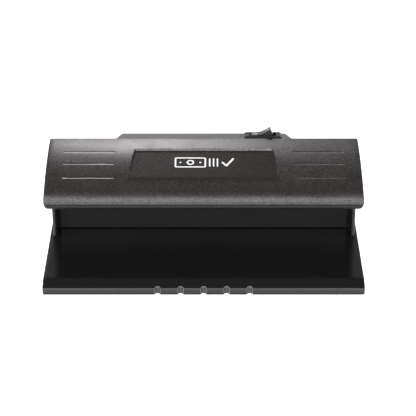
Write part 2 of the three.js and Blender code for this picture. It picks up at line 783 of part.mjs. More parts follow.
function tubeGlass() {
  const radius = TUBE_RADIUS - 0.3;
  const profile = [
    [0, -GLASS_HALF],
    [radius - 1.5, -GLASS_HALF],
    [radius, -GLASS_HALF + 1.5],
    [radius, GLASS_HALF - 1.5],
    [radius - 1.5, GLASS_HALF],
    [0, GLASS_HALF],
  ];
  return turnedAlongX(profile, 28);
}

function tubeCap(side) {
  const profile = [
    [0, GLASS_HALF + GAP],
    [TUBE_RADIUS, GLASS_HALF + GAP],
    [TUBE_RADIUS, TUBE_HALF - 1.2],
    [TUBE_RADIUS - 1.2, TUBE_HALF],
    [0, TUBE_HALF],
  ];
  const made = solid(turnedAlongX(profile, 28));
  const cap = side > 0 ? made : made.rotate([0, 0, 180]).translate([0, 2 * y(TUBE_BACK), 0]);
  return [-1, 1].reduce((left, end) => {
    const at = [side * (TUBE_HALF - 1), y(TUBE_BACK + (end * PIN_SPACING) / 2), TUBE_AXIS];
    return left.subtract(cylinder(PIN_RADIUS + GAP, 8, 10, "x", at));
  }, cap);
}

for (const [name, side] of SIDES) {
  piece(`lampholder_${name}`, lampHolder(side), whitePlastic);
  piece(`lampholder_rotor_${name}`, rotor(side), whitePlastic);
  piece(`tube_cap_${name}`, tubeCap(side), aluminium);
  for (const [place, end] of TUBE_ENDS) {
    const middle = [(side * (PIN_END + PIN_START)) / 2, y(TUBE_BACK + (end * PIN_SPACING) / 2), TUBE_AXIS];
    piece(`tube_pin_${name}_${place}`, cylinder(PIN_RADIUS, PIN_END - PIN_START, 10, "x", middle), brass);
  }
}
piece("uv_tube", tubeGlass(), violetGlass);

// ---------------------------------------------------------------- ballast board
const BOARD_FACE = BOARD_BACK + BOARD_THICKNESS;
const ON_BOARD = BOARD_FACE + GAP;

function circuitBoard() {
  let board = block(BOARD.x0, BOARD.x1, BOARD_BACK, BOARD_FACE, BOARD.z0, BOARD.z1);
  for (const [, x] of BOARD_SCREWS) {
    board = cut(board, cylinder(BOARD_SCREW_RADIUS + GAP, 8, 12, "y", [x, y(BOARD_BACK), BOARD_SCREW_Z]));
  }
  return board;
}

// A small screw along Y that holds the board to its boss.
function boardScrew(x) {
  const profile = [
    [0, 0],
    [2.3, 0],
    [2.3, 1.4],
    [1.2, 1.4],
    [1.2, 5],
    [0, 5.4],
  ];
  const made = new THREE.LatheGeometry(profile.map(([r, h]) => new THREE.Vector2(r, h)), 12);
  made.rotateX(Math.PI);
  return made.translate(x, y(ON_BOARD + 1.4), BOARD_SCREW_Z);
}

const CHOKE = { x: -60, z: 35 };

function chokeCore() {
  const { x, z } = CHOKE;
  const core = block(x - 10, x + 10, ON_BOARD, ON_BOARD + 12, z - 9, z + 9);
  const channel = block(x - 5.8, x + 5.8, ON_BOARD + 2.4, ON_BOARD + 20, z - 10, z + 10);
  const backPlate = block(x - 10, x + 10, ON_BOARD + 10, ON_BOARD + 12, z - 9, z + 9);
  return joined(cut(core, channel), backPlate);
}

function chokeWinding() {
  const { x, z } = CHOKE;
  return block(x - 5.3, x + 5.3, ON_BOARD + 2.8, ON_BOARD + 9.6, z - 7.6, z + 7.6);
}

function terminalBlock(x, z) {
  let made = block(x - 8, x + 8, ON_BOARD, ON_BOARD + 9, z - 4.5, z + 4.5);
  for (const offset of [-4, 4]) {
    made = cut(made, cylinder(1.5, 5, 10, "y", [x + offset, y(ON_BOARD + 8), z]));
  }
  return made;
}

piece("circuit_board", circuitBoard(), laminate);
for (const [name, x] of BOARD_SCREWS) piece(`board_screw_${name}`, boardScrew(x), steel);
piece("choke_core", chokeCore(), ferrite);
piece("choke_winding", chokeWinding(), copper);
piece("storage_capacitor", cylinder(5, 18, 20, "z", [-38, y(ON_BOARD + 5.2), 32]), sleeve);
piece("film_capacitor_left", block(-92, -80, ON_BOARD, ON_BOARD + 9, 35, 40), film);
piece("film_capacitor_right", block(-92, -80, ON_BOARD, ON_BOARD + 9, 23, 28), film);
piece("fuse", cylinder(2.6, 16, 14, "x", [-60, y(ON_BOARD + 2.8), 20.5]), whitePlastic);
piece("mains_terminal", terminalBlock(-27, 46), whitePlastic);
piece("lamp_terminal", terminalBlock(-94, 47), whitePlastic);

// ---------------------------------------------------------------- rocker switch
// Drawn in its own frame: X along the rocker, Y across it, Z out of the tilted ridge.
const switchGroup = new THREE.Group();
SWITCH_FRAME.decompose(switchGroup.position, switchGroup.quaternion, switchGroup.scale);
detector.add(switchGroup);

const BEZEL_TOP = 1.7;
const BEZEL_HALF_X = 15.75;
const BEZEL_HALF_Y = 6.3;
const OPENING_HALF_X = 11.3;
const OPENING_HALF_Y = 5;
const BODY_HALF_X = 13.4;
const BODY_HALF_Y = 5.5;
const BODY_BOTTOM = -16;
const PIVOT_Z = BEZEL_TOP - 3.54;
const PIVOT_PIN_RADIUS = 1;
const PADDLE_HALF_Y = 4.7;
const PLUNGER_RADIUS = 0.9;
const TERMINAL_END = -23;
const TERMINAL_HALF_Y = 2.4;
const END_TERMINAL_X = -8;

function localBox(x0, x1, y0, y1, z0, z1) {
  const box = new THREE.BoxGeometry(x1 - x0, y1 - y0, z1 - z0);
  return box.translate((x0 + x1) / 2, (y0 + y1) / 2, (z0 + z1) / 2);
}

function centredBox(halfX, halfY, z0, z1) {
  return solid(localBox(-halfX, halfX, -halfY, halfY, z0, z1));
}

// A prism across the switch from a flat outline of [x, z] points.
function switchPrism(outline, halfY) {
  const made = new THREE.ExtrudeGeometry(flatShape(outline), { depth: 2 * halfY, bevelEnabled: false });
  made.translate(0, 0, -halfY);
  return made.rotateX(Math.PI / 2);
}

function switchBody() {
  const bezelOutline = [
    [-BEZEL_HALF_X, GAP],
    [BEZEL_HALF_X, GAP],
    [BEZEL_HALF_X, 0.9],
    [BEZEL_HALF_X - 1.6, BEZEL_TOP],
    [-BEZEL_HALF_X + 1.6, BEZEL_TOP],
    [-BEZEL_HALF_X, 0.9],
  ];
  const bezel = solid(switchPrism(bezelOutline, BEZEL_HALF_Y));
  let body = joined(bezel, centredBox(BODY_HALF_X, BODY_HALF_Y, BODY_BOTTOM, 0.6));
  body = cut(body, centredBox(OPENING_HALF_X, OPENING_HALF_Y, BODY_BOTTOM + 2, 10));
  const holeRadius = PIVOT_PIN_RADIUS + GAP;
  const pinHole = new THREE.CylinderGeometry(holeRadius, holeRadius, 20, 12).translate(0, 0, PIVOT_Z);
  body = cut(body, solid(pinHole));
  const slotHalfY = TERMINAL_HALF_Y + GAP;
  for (const x of [0, END_TERMINAL_X]) {
    const slot = localBox(x - 0.7, x + 0.7, -slotHalfY, slotHalfY, BODY_BOTTOM - 2, BODY_BOTTOM + 4);
    body = cut(body, solid(slot));
  }
  return body;
}

// The rocker's outline in its level position, pivot at the origin, then pressed down at its left end.
function rockerPaddle() {
  const valley = 4.9;
  const tip = [8.57, 6.73];
  const half = [
    [1.6, valley + 0.12],
    [3.2, valley + 0.55],
    tip,
    [9.66, 0.6],
    [8.6, -2.2],
    [2.6, -2.2],
    [1.9, -6],
  ];
  const mirrored = half.map(([x, z]) => [-x, z]).reverse();
  const outline = [[0, valley], ...half, ...mirrored].reverse();
  let paddle = solid(switchPrism(outline, PADDLE_HALF_Y));
  const boreRadius = PIVOT_PIN_RADIUS + GAP;
  const bore = new THREE.CylinderGeometry(boreRadius, boreRadius, 20, 12);
  const plungerHole = PLUNGER_RADIUS + GAP;
  const plungerBore = new THREE.CylinderGeometry(plungerHole, plungerHole, 6, 12).rotateX(Math.PI / 2);
  paddle = cut(paddle, solid(bore), solid(plungerBore.translate(0, 0, -5.9)));
  const placed = geometryOf(paddle);
  placed.rotateY(-ROCKER_TILT);
  return placed.translate(0, 0, PIVOT_Z);
}

const CONTACT_PIVOT = -10.2;

function contactBlade() {
  const line = [
    [-6.6, 0.9],
    [-1.4, 0.3],
    [0, 0.9],
    [1.4, 0.3],
    [6.6, 0.9],
  ];
  const blade = switchPrism(foldedSheet(line, 0.5), TERMINAL_HALF_Y);
  blade.rotateY(CONTACT_TILT);
  return blade.translate(0, 0, CONTACT_PIVOT);
}

// The terminal that the blade's left end comes down on, with its contact pad.
function endTerminal() {
  const outer = END_TERMINAL_X - 0.4;
  const inner = END_TERMINAL_X + 0.4;
  const top = CONTACT_PIVOT - 0.7;
  const blade = localBox(outer, inner, -TERMINAL_HALF_Y, TERMINAL_HALF_Y, TERMINAL_END, top);
  const pad = localBox(outer, inner + 2.8, -TERMINAL_HALF_Y, TERMINAL_HALF_Y, top - 0.8, top);
  return joined(solid(blade), solid(pad));
}

// The spring-loaded plunger in the rocker's stem, which tips the contact blade.
function plunger() {
  const tip = -CONTACT_PIVOT + PIVOT_Z - 1.9;
  const made = new THREE.LatheGeometry(
    [
      [0, -tip],
      [0.5, -tip],
      [PLUNGER_RADIUS, -tip + 0.5],
      [PLUNGER_RADIUS, -3.2],
      [0, -3.2],
    ].map(([r, h]) => new THREE.Vector2(r, h)),
    12,
  );
  made.rotateX(Math.PI / 2);
  made.rotateY(-ROCKER_TILT);
  return made.translate(0, 0, PIVOT_Z);
}

piece("switch_body", switchBody(), black, switchGroup);
piece("rocker_plunger", plunger(), brass, switchGroup);
piece("rocker_paddle", rockerPaddle(), black, switchGroup);
const pivotPin = new THREE.CylinderGeometry(PIVOT_PIN_RADIUS, PIVOT_PIN_RADIUS, 2 * BODY_HALF_Y - 0.2, 12);
piece("rocker_pivot_pin", pivotPin.translate(0, 0, PIVOT_Z), steel, switchGroup);
piece("contact_blade", contactBlade(), brass, switchGroup);
const centreTop = CONTACT_PIVOT - 0.1;
const centreTerminal = localBox(-0.4, 0.4, -TERMINAL_HALF_Y, TERMINAL_HALF_Y, TERMINAL_END, centreTop);
piece("centre_terminal", centreTerminal, brass, switchGroup);
piece("end_terminal", endTerminal(), brass, switchGroup);

// ---------------------------------------------------------------- wires
function wire(points, radius) {
  const path = new THREE.CatmullRomCurve3(points.map(([x, back, z]) => new THREE.Vector3(x, y(back), z)));
  const section = new THREE.Shape();
  section.absarc(0, 0, radius, 0, 2 * Math.PI, false);
  const steps = Math.min(60, Math.ceil(path.getLength() / (4 * radius)));
  const settings = { steps, extrudePath: path, curveSegments: 4, bevelEnabled: false };
  return new THREE.ExtrudeGeometry(section, settings);
}

const WIRE_RADIUS = 0.9;
const LEAD_RADIUS = 1.1;
const inletTab = RIDGE_REAR - 24.2;
const inletLeft = INLET_X - INLET_PIN_SPACING / 2;
const inletRight = INLET_X + INLET_PIN_SPACING / 2;
const liveIn = [
  [inletRight, inletTab - 0.4, INLET_Z],
  [inletRight, inletTab - 1, INLET_Z + 5],
  [inletRight + 2, 101, 46],
  [SWITCH_X + 3, 108, 58],
  [SWITCH_X + 1.8, 110.9, 66],
];
const liveOut = [
  [SWITCH_X - 9.6, 110.9, 66],
  [SWITCH_X - 12, 109, 58],
  [20, 104, 51],
  [-8, 107.2, 50],
  [-22, 109, 48],
  [-23, 107.5, 46],
];
const neutral = [
  [inletLeft, inletTab - 0.4, INLET_Z],
  [inletLeft - 3, inletTab - 1, INLET_Z + 1],
  [20, 100, 38],
  [-8, 106, 42],
  [-27, 109.5, 44],
  [-31, 107.5, 46],
];
piece("live_wire", wire(liveIn, WIRE_RADIUS), redWire);
piece("switched_live_wire", wire(liveOut, WIRE_RADIUS), redWire);
piece("neutral_wire", wire(neutral, WIRE_RADIUS), blueWire);

const lampLeads = {
  left: [
    [-HOLDER_END - 1.2, TUBE_BACK, 68],
    [-120, TUBE_BACK + 2, 66],
    [-120.5, 84, 63.6],
    [-114, 96, 62.6],
    [-108, 101, 58],
    [-101, 109, 50],
    [-98, 107.5, 47],
  ],
  right: [
    [HOLDER_END + 1.2, TUBE_BACK, 68],
    [120, TUBE_BACK + 2, 66],
    [120.5, 84, 63.6],
    [114, 96, 62.6],
    [104, 101, 58],
    [80, 104, 56.5],
    [20, 101, 57],
    [-30, 103, 56.5],
    [-74, 106, 55],
    [-87, 109, 50],
    [-90, 107.5, 47],
  ],
};
for (const [name] of SIDES) piece(`lamp_lead_${name}`, wire(lampLeads[name], LEAD_RADIUS), whitePlastic);

export default detector;
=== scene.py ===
"""Looks for the counterfeit bill detector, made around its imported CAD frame.

Shapes are drawn in millimetres in the part's own frame: +Z up, the user at -Y, and a distance named "back"
runs from the front edge of the base towards the rear. piece() turns them into metres.
"""
import math

import bmesh
import bpy
from mathutils import Matrix, Vector


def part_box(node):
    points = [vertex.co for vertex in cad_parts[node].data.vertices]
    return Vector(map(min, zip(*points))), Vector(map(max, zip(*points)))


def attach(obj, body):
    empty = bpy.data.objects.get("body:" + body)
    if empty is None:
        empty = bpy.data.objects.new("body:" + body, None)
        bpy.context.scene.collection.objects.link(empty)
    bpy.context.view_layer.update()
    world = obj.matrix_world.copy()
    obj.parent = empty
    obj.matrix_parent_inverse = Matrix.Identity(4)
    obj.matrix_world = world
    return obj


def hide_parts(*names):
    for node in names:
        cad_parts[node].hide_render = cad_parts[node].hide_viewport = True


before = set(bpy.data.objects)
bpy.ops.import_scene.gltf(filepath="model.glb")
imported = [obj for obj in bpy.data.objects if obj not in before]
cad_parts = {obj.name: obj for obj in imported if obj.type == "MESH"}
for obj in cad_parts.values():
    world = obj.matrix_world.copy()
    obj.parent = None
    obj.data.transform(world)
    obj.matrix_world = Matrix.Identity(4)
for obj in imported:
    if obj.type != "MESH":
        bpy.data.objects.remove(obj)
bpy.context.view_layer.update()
MM = 0.001


def cad_box(node):
    """A CAD node's lowest and highest corners, in millimetres."""
    low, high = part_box(node)
    return low / MM, high / MM


# ---- driving dimensions, from the frame
BASE_LOW, BASE_HIGH = cad_box("base_tray")
HOUSING_LOW, HOUSING_HIGH = cad_box("rear_housing")
TRAY_LOW, TRAY_HIGH = cad_box("lamp_tray")
COVER_LOW, _ = cad_box("hood_cover")
PLATE_LOW, PLATE_HIGH = cad_box("bottom_plate")
FRONT = BASE_LOW.y
HALF = BASE_HIGH.x
GAP = 0.3
WALL = 2.4
COVER_WALL = 3.0
CREST_BACK = 107.0
HOUSING_REAR = 115.0
RIDGE_REAR = HOUSING_HIGH.y - FRONT
RIDGE_HALF_FRONT = 74.9
RIDGE_HALF_REAR = 69.5
RIDGE_TILT = math.radians(9.5)


def y(back):
    return FRONT + back


# ---- outlines
def rounded(corners, step=9):
    """An outline from (a, b, radius) corners, rounded by arcs with a point about every step degrees."""
    outline = []
    for i, (a, b, radius) in enumerate(corners):
        here = Vector((a, b))
        if not radius:
            outline.append(here)
            continue
        before = (Vector(corners[i - 1][:2]) - here).normalized()
        after = (Vector(corners[(i + 1) % len(corners)][:2]) - here).normalized()
        half = before.angle(after) / 2
        centre = here + (before + after).normalized() * (radius / math.sin(half))
        start = here + before * (radius / math.tan(half)) - centre
        end = here + after * (radius / math.tan(half)) - centre
        turn = math.atan2(start.x * end.y - start.y * end.x, start.dot(end))
        count = max(2, round(abs(math.degrees(turn)) / step))
        outline += [centre + Matrix.Rotation(turn * k / count, 2) @ start for k in range(count + 1)]
    return outline


def shrunk(outline, inset):
    """An anticlockwise outline moved inwards."""
    moved = []
    for i, here in enumerate(outline):
        along = (here - outline[i - 1]).normalized()
        onward = (outline[(i + 1) % len(outline)] - here).normalized()
        inward = Vector((-along.y - onward.y, along.x + onward.x))
        moved.append(here + inward * (2 * inset / inward.length_squared))
    return moved


def with_stations(outline, stations):
    """Adds a point wherever an edge of the outline crosses one of these values of its second coordinate."""
    fuller = []
    for i, here in enumerate(outline):
        onward = outline[(i + 1) % len(outline)]
        crossed = [s for s in stations if (here.y - s) * (onward.y - s) < -1e-9]
        fuller.append(here)
        crossed.sort(key=lambda s: abs(s - here.y))
        fuller += [here.lerp(onward, (s - here.y) / (onward.y - here.y)) for s in crossed]
    return fuller


def box_outline(low_a, high_a, low_b, high_b, radius=0, step=9):
    """A rectangle's outline with all its corners rounded."""
    corners = ((low_a, low_b), (high_a, low_b), (high_a, high_b), (low_a, high_b))
    return rounded([(a, b, radius) for a, b in corners], step)


def oblong(half_a, half_b, radius, centre=(0, 0)):
    a, b = centre
    return box_outline(a - half_a, a + half_a, b - half_b, b + half_b, radius)


def circle(radius, centre=(0, 0), count=40):
    turns = [2 * math.pi * k / count for k in range(count)]
    return [Vector(centre) + radius * Vector((math.cos(t), math.sin(t))) for t in turns]


# ---- solids
def upwards(a, b, height):
    return (a, b, height)


def along_x(a, b, height):
    return (height, a, b)


def along_y(a, b, height):
    return (a, height, b)


def linked(name, data):
    """A new object in the scene."""
    holder = bpy.data.objects.new(name, data)
    bpy.context.scene.collection.objects.link(holder)
    return holder


def mesh_object(made, name="part"):
    bmesh.ops.recalc_face_normals(made, faces=made.faces)
    mesh = bpy.data.meshes.new(name)
    made.to_mesh(mesh)
    made.free()
    return linked(name, mesh)


def add_quads(made, lower, upper):
    """Faces between two rings with the same number of points."""
    count = len(lower)
    for i in range(count):
        onward = (i + 1) % count
        made.faces.new((lower[i], lower[onward], upper[onward], upper[i]))


def loft(rings, creases=()):
    """A closed mesh through rings of points; its last face is split where points lie on a crease."""
    made = bmesh.new()
    rows = [[made.verts.new(point) for point in ring] for ring in rings]
    for lower, upper in zip(rows, rows[1:]):
        add_quads(made, lower, upper)
    made.faces.new(list(reversed(rows[0])))
    made.faces.new(rows[-1])
    for crease in creases:
        ends = [v for v in rows[-1] if abs(v.co.y - crease) < 1e-4]
        shared = set(ends[0].link_faces) & set(ends[1].link_faces)
        bmesh.utils.face_split(shared.pop(), ends[0], ends[1])
    return mesh_object(made)


def moulded(plan, low, high, low_round=0.0, high_round=0.0, place=upwards, creases=(), steps=5):
    """A closed mesh on a flat outline, with rounded rims; high may depend on the second coordinate."""
    top = high if callable(high) else (lambda b: high)
    rings = []
    for k in range(steps + 1 if low_round else 1):
        turn = math.pi / 2 * k / steps if low_round else math.pi / 2
        level = low + low_round * (1 - math.cos(turn))
        rings.append([place(p.x, p.y, level) for p in shrunk(plan, low_round * (1 - math.sin(turn)))])
    for k in range(steps + 1 if high_round else 1):
        turn = math.pi / 2 * k / steps if high_round else 0.0
        drop = high_round * (1 - math.sin(turn))
        ring = shrunk(plan, high_round * (1 - math.cos(turn)))
        rings.append([place(p.x, p.y, top(p.y) - drop) for p in ring])
    return loft(rings, creases)


def rod(radius, start, end, centre, place=upwards, count=32, top_radius=None):
    """A plain round rod or a cone along one axis, mostly for holes and bosses."""
    top_radius = radius if top_radius is None else top_radius
    low = [place(p.x, p.y, start) for p in circle(radius, centre, count)]
    high = [place(p.x, p.y, end) for p in circle(top_radius, centre, count)]
    return loft([low, high])


def turned(profile, centre, place=upwards, count=48):
    """A solid of revolution from (radius, height) points whose first and last radii are zero."""
    made = bmesh.new()
    rows = []
    for radius, height in profile:
        ring = circle(radius, centre, count) if radius else [Vector(centre)]
        rows.append([made.verts.new(place(p.x, p.y, height)) for p in ring])
    for lower, upper in zip(rows, rows[1:]):
        if len(lower) == len(upper):
            add_quads(made, lower, upper)
            continue
        for i in range(count):
            onward = (i + 1) % count
            if len(lower) == 1:
                made.faces.new((lower[0], upper[onward], upper[i]))
            else:
                made.faces.new((lower[i], lower[onward], upper[0]))
    return mesh_object(made)


def arc_profile(points, step=18):
    """(radius, height) points for turned(), with each (radius, height, rounding) corner rounded off."""
    return [tuple(p) for p in rounded(points, step)]


def combined(target, operation, tools):
    """Joins closed meshes to target, or cuts them from it, and keeps the result as target's own mesh."""
    for tool in tools:
        step = target.modifiers.new("step", "BOOLEAN")
        step.operation = operation
        step.solver = "EXACT"
        step.object = tool
    graph = bpy.context.evaluated_depsgraph_get()
    mesh = bpy.data.meshes.new_from_object(target.evaluated_get(graph))
    target.modifiers.clear()
    target.data = mesh
    for tool in tools:
        bpy.data.objects.remove(tool)
    return target


def cut(target, *tools):
    return combined(target, "DIFFERENCE", tools)


def joined(target, *tools):
    return combined(target, "UNION", tools)


def grouped(*parts):
    """Separate solids as one mesh."""
    made = bmesh.new()
    for part in parts:
        made.from_mesh(part.data)
        bpy.data.objects.remove(part)
    return mesh_object(made)


SIDES = (("left", -1), ("right", 1))


def both(make):
    """make(side) for the left and right sides."""
    return [make(side) for _, side in SIDES]


# ---- pieces
def shade(mesh, angle):
    """Smooth faces, with a hard edge wherever two faces turn by more than this angle."""
    made = bmesh.new()
    made.from_mesh(mesh)
    for face in made.faces:
        face.smooth = True
    for edge in made.edges:
        edge.smooth = edge.calc_face_angle(0) < angle
    made.to_mesh(mesh)
    made.free()


def piece(made, name, stands_for, slot, *materials, body="body", angle=32, even=True):
    """Finishes a mesh: metres, shading, materials, the body it rides on and the nodes it stands for."""
    made.name = name
    made.data.name = name
    made.data.transform(Matrix.Scale(MM, 4))
    made.data.materials.clear()
    for material in materials:
        made.data.materials.append(material)
    shade(made.data, math.radians(angle))
    if even:
        made.modifiers.new("even_normals", "WEIGHTED_NORMAL").keep_sharp = True
    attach(made, body)
    if stands_for:
        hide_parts(*stands_for)
    return made


def dress(node, finish, bevel):
    """Gives a CAD node that keeps its own shape a finished material and softened edges."""
    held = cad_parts[node]
    held.data.materials.clear()
    held.data.materials.append(finish)
    edge = held.modifiers.new("soft_edges", "BEVEL")
    edge.width = bevel * MM
    edge.segments = 2
    edge.limit_method = "ANGLE"
    edge.angle_limit = math.radians(40)


# ---- materials
def feed(tree, node, inputs):
    """Sets a node's inputs, each to a value or to another node's output."""
    for key, value in inputs.items():
        if isinstance(value, bpy.types.NodeSocket):
            tree.links.new(value, node.inputs[key])
        else:
            node.inputs[key].default_value = value


def add(tree, kind, inputs=(), **settings):
    """A new shader node with its settings and inputs."""
    made = tree.nodes.new("ShaderNode" + kind)
    for key, value in settings.items():
        setattr(made, key, value)
    feed(tree, made, dict(inputs))
    return made


def place_of(tree, stretch=(1, 1, 1)):
    """The point on the object in metres, stretched for brushed or scraped patterns."""
    where = add(tree, "TexCoord").outputs["Object"]
    if stretch == (1, 1, 1):
        return where
    return add(tree, "Mapping", {"Vector": where, "Scale": stretch}).outputs["Vector"]


def noise(tree, size, detail=2.0, rough=0.5, stretch=(1, 1, 1)):
    """Noise from 0 to 1 whose features measure about size millimetres."""
    where = place_of(tree, stretch)
    inputs = {"Vector": where, "Scale": 1 / (size * MM), "Detail": detail, "Roughness": rough}
    return add(tree, "TexNoise", inputs).outputs["Fac"]


def ranged(tree, value, low, high, to_low, to_high):
    inputs = {"Value": value, "From Min": low, "From Max": high, "To Min": to_low, "To Max": to_high}
    return add(tree, "MapRange", inputs).outputs["Result"]


def arithmetic(tree, operation, a, b):
    return add(tree, "Math", {0: a, 1: b}, operation=operation).outputs["Value"]


def mixed(tree, share, first, second):
    """A colour on the way from first to second, each a colour or another node's output."""
    return add(tree, "Mix", {"Factor": share, 6: first, 7: second}, data_type="RGBA").outputs[2]


def tinted(tree, color, low, high, value):
    """A colour that runs from low to high times itself as value goes from 0 to 1."""
    return mixed(tree, value, [c * low for c in color] + [1], [c * high for c in color] + [1])


def worn_edges(tree, radius):
    """1 on sharp convex and concave edges within radius millimetres, and 0 on open faces."""
    soft = add(tree, "Bevel", {"Radius": radius * MM}, samples=4).outputs["Normal"]
    true = add(tree, "NewGeometry").outputs["Normal"]
    along = add(tree, "VectorMath", {0: soft, 1: true}, operation="DOT_PRODUCT").outputs["Value"]
    return ranged(tree, along, 0.995, 0.85, 0, 1)


def surface(name):
    """A new material and its node tree."""
    made = bpy.data.materials.new(name)
    made.use_nodes = True
    return made, made.node_tree


def finished(made, inputs, *layers):
    """Feeds a material's shader, with bump from (height, depth in millimetres) layers, the coarse first."""
    tree = made.node_tree
    normal = None
    for height, depth in layers:
        bump = {"Height": height, "Distance": depth * MM, "Strength": 1.0}
        if normal is not None:
            bump["Normal"] = normal
        normal = add(tree, "Bump", bump).outputs["Normal"]
    feed(tree, tree.nodes["Principled BSDF"], {**inputs, "Normal": normal})
    return made


def moulded_plastic(name, color, rough, grain=0.8, depth=0.02, spread=0.15, gloss=0.5, edges=0.35, glint=0.1,
                    dull=0.3):
    """Moulded plastic: a spark-eroded grain, uneven gloss, faint dust and paler, smoother edges."""
    made, tree = surface(name)
    fine = noise(tree, grain, 3, 0.65)
    broad = noise(tree, 28, 3, 0.6)
    facets = add(tree, "TexVoronoi", {"Vector": place_of(tree), "Scale": 1 / (grain * MM)}).outputs["Color"]
    sparkle = add(tree, "SeparateColor", {"Color": facets}).outputs["Red"]
    dust = ranged(tree, noise(tree, 1.7, 4, 0.75), 0.6, 0.8, 0, dull)
    patches = ranged(tree, broad, 0.3, 0.7, 0, 0.3)
    mottle = arithmetic(tree, "ADD", ranged(tree, fine, 0.3, 0.7, 0, 0.7), patches)
    edge = worn_edges(tree, edges)
    plain = tinted(tree, color, 1 - spread, 1 + spread, mottle)
    pale = [min(1.0, c * 2.2 + 0.01) for c in color] + [1]
    patchy = arithmetic(tree, "ADD", ranged(tree, broad, 0.3, 0.7, rough - 0.04, rough + 0.04), dust)
    uneven = arithmetic(tree, "ADD", patchy, ranged(tree, sparkle, 0, 1, -0.12 * glint, 0.12 * glint))
    polished = arithmetic(tree, "SUBTRACT", uneven, arithmetic(tree, "MULTIPLY", edge, 0.08))
    inputs = {
        "Base Color": mixed(tree, arithmetic(tree, "MULTIPLY", edge, 0.35), plain, pale),
        "Roughness": arithmetic(tree, "MAXIMUM", polished, 0.12),
        "Specular IOR Level": ranged(tree, sparkle, 0, 1, gloss * (1 - glint), gloss * (1 + glint)),
    }
    return finished(made, inputs, (noise(tree, 9, 2), depth * 0.3), (fine, depth))


def masked(made, attribute, key):
    """A plastic's tree and shader, what feeds the shader's key, and a vertex attribute to change it with."""
    tree = made.node_tree
    shader = tree.nodes["Principled BSDF"]
    mask = add(tree, "Attribute", attribute_name=attribute).outputs["Fac"]
    return tree, shader, shader.inputs[key].links[0].from_socket, mask


def smoothed_by(made, attribute, rough):
    """Lets a vertex attribute fade a moulded grain out into a polished surface."""
    tree, shader, grainy, mask = masked(made, attribute, "Roughness")
    drop = arithmetic(tree, "MULTIPLY", mask, arithmetic(tree, "SUBTRACT", grainy, rough))
    feed(tree, shader, {"Roughness": arithmetic(tree, "SUBTRACT", grainy, drop)})
    for bump in [n for n in tree.nodes if n.type == "BUMP"]:
        feed(tree, bump, {"Strength": ranged(tree, mask, 0, 1, 1, 0.06)})


def painted_highlight_by(made, attribute, color):
    """Lets a vertex attribute fade a plastic to a paler tone: a painted highlight along its rims."""
    tree, shader, plain, mask = masked(made, attribute, "Base Color")
    # The paler, faintly mottled tone of the painted highlight.
    highlight_tone = tinted(tree, color, 0.75, 1.2, noise(tree, 0.9, 3))
    feed(tree, shader, {"Base Color": mixed(tree, mask, plain, highlight_tone)})


def metal(name, color, rough, stretch=(1, 1, 1), streak=0.12):
    """Bare or plated metal with drawn or turned streaks and a few dull spots."""
    made, tree = surface(name)
    streaks = noise(tree, streak, 3, 0.6, stretch)
    spots = noise(tree, 2.5, 3, 0.7)
    dull = ranged(tree, streaks, 0.25, 0.75, rough - 0.07, rough + 0.09)
    inputs = {
        "Base Color": tinted(tree, color, 0.82, 1.08, spots),
        "Roughness": arithmetic(tree, "ADD", dull, ranged(tree, spots, 0.55, 0.75, 0, 0.15)),
        "Metallic": 1.0,
    }
    return finished(made, inputs, (streaks, 0.004))


def rubber_material():
    made, tree = surface("foot_rubber")
    fine = noise(tree, 0.35, 4, 0.7)
    bloom = noise(tree, 6, 3, 0.6)
    inputs = {
        "Base Color": tinted(tree, (0.014, 0.014, 0.015), 0.7, 2.2, bloom),
        "Roughness": ranged(tree, fine, 0.3, 0.7, 0.72, 0.95),
        "Specular IOR Level": 0.3,
    }
    return finished(made, inputs, (bloom, 0.03), (fine, 0.012))


def lamp_glass():
    """The dark violet filter glass of a blacklight tube."""
    made, tree = surface("violet_filter_glass")
    cloud = noise(tree, 14, 4, 0.6, (1, 2.5, 2.5))
    inputs = {
        "Base Color": tinted(tree, (0.035, 0.016, 0.085), 0.6, 1.5, cloud),
        "Roughness": ranged(tree, noise(tree, 3, 3), 0.3, 0.7, 0.05, 0.12),
        "IOR": 1.52,
        "Coat Weight": 1.0,
        "Coat Roughness": 0.04,
    }
    return finished(made, inputs, (cloud, 0.01))


def printed_white():
    """Pad-printed white ink, a little thin in places."""
    made, tree = surface("white_print")
    thin = noise(tree, 0.9, 4, 0.7)
    color = tinted(tree, (0.86, 0.86, 0.85), 0.9, 1.05, thin)
    inputs = {"Base Color": color, "Roughness": ranged(tree, thin, 0.3, 0.7, 0.4, 0.55)}
    return finished(made, inputs, (thin, 0.004))


def board_laminate():
    made, tree = surface("board_laminate")
    weave = noise(tree, 0.6, 2, 0.5, (1, 1, 3))
    tracks = ranged(tree, noise(tree, 5, 1, 0.3, (1, 1, 0.4)), 0.48, 0.5, 0, 1)
    color = tinted(tree, (0.02, 0.11, 0.035), 0.6, 1.3, tracks)
    inputs = {"Base Color": color, "Roughness": ranged(tree, weave, 0.3, 0.7, 0.3, 0.45)}
    return finished(made, inputs, (tracks, 0.03), (weave, 0.006))


FIELD_MASK = "field_smoothness"
COVER_PLASTIC = moulded_plastic("cover_textured", (0.0195, 0.0165, 0.016), 0.38, 0.8, 0.045, 0.22, glint=0.55)
smoothed_by(COVER_PLASTIC, FIELD_MASK, 0.16)
TRAY_PLASTIC = moulded_plastic("tray_black", (0.005, 0.005, 0.005), 0.4, 0.5, 0.008, 0.12, 0.3)
BASE_PLASTIC = moulded_plastic("base_black", (0.009, 0.009, 0.009), 0.14, 0.6, 0.004, 0.12, 0.28, dull=0.06)
# Painted highlight: the base's notch lips, notch hollows and top rim are paled through this vertex mask.
RIM_HIGHLIGHT_MASK = "painted_rim_highlights"
painted_highlight_by(BASE_PLASTIC, RIM_HIGHLIGHT_MASK, (0.14, 0.14, 0.14))
HOUSING_COLOR = (0.014, 0.0132, 0.013)
HOUSING_PLASTIC = moulded_plastic("housing_black", HOUSING_COLOR, 0.44, 0.9, 0.1, 0.25, 0.4, glint=0.4)
SWITCH_PLASTIC = moulded_plastic("switch_black", (0.004, 0.004, 0.0042), 0.3, 0.3, 0.003, 0.1, 0.2, 0.2)
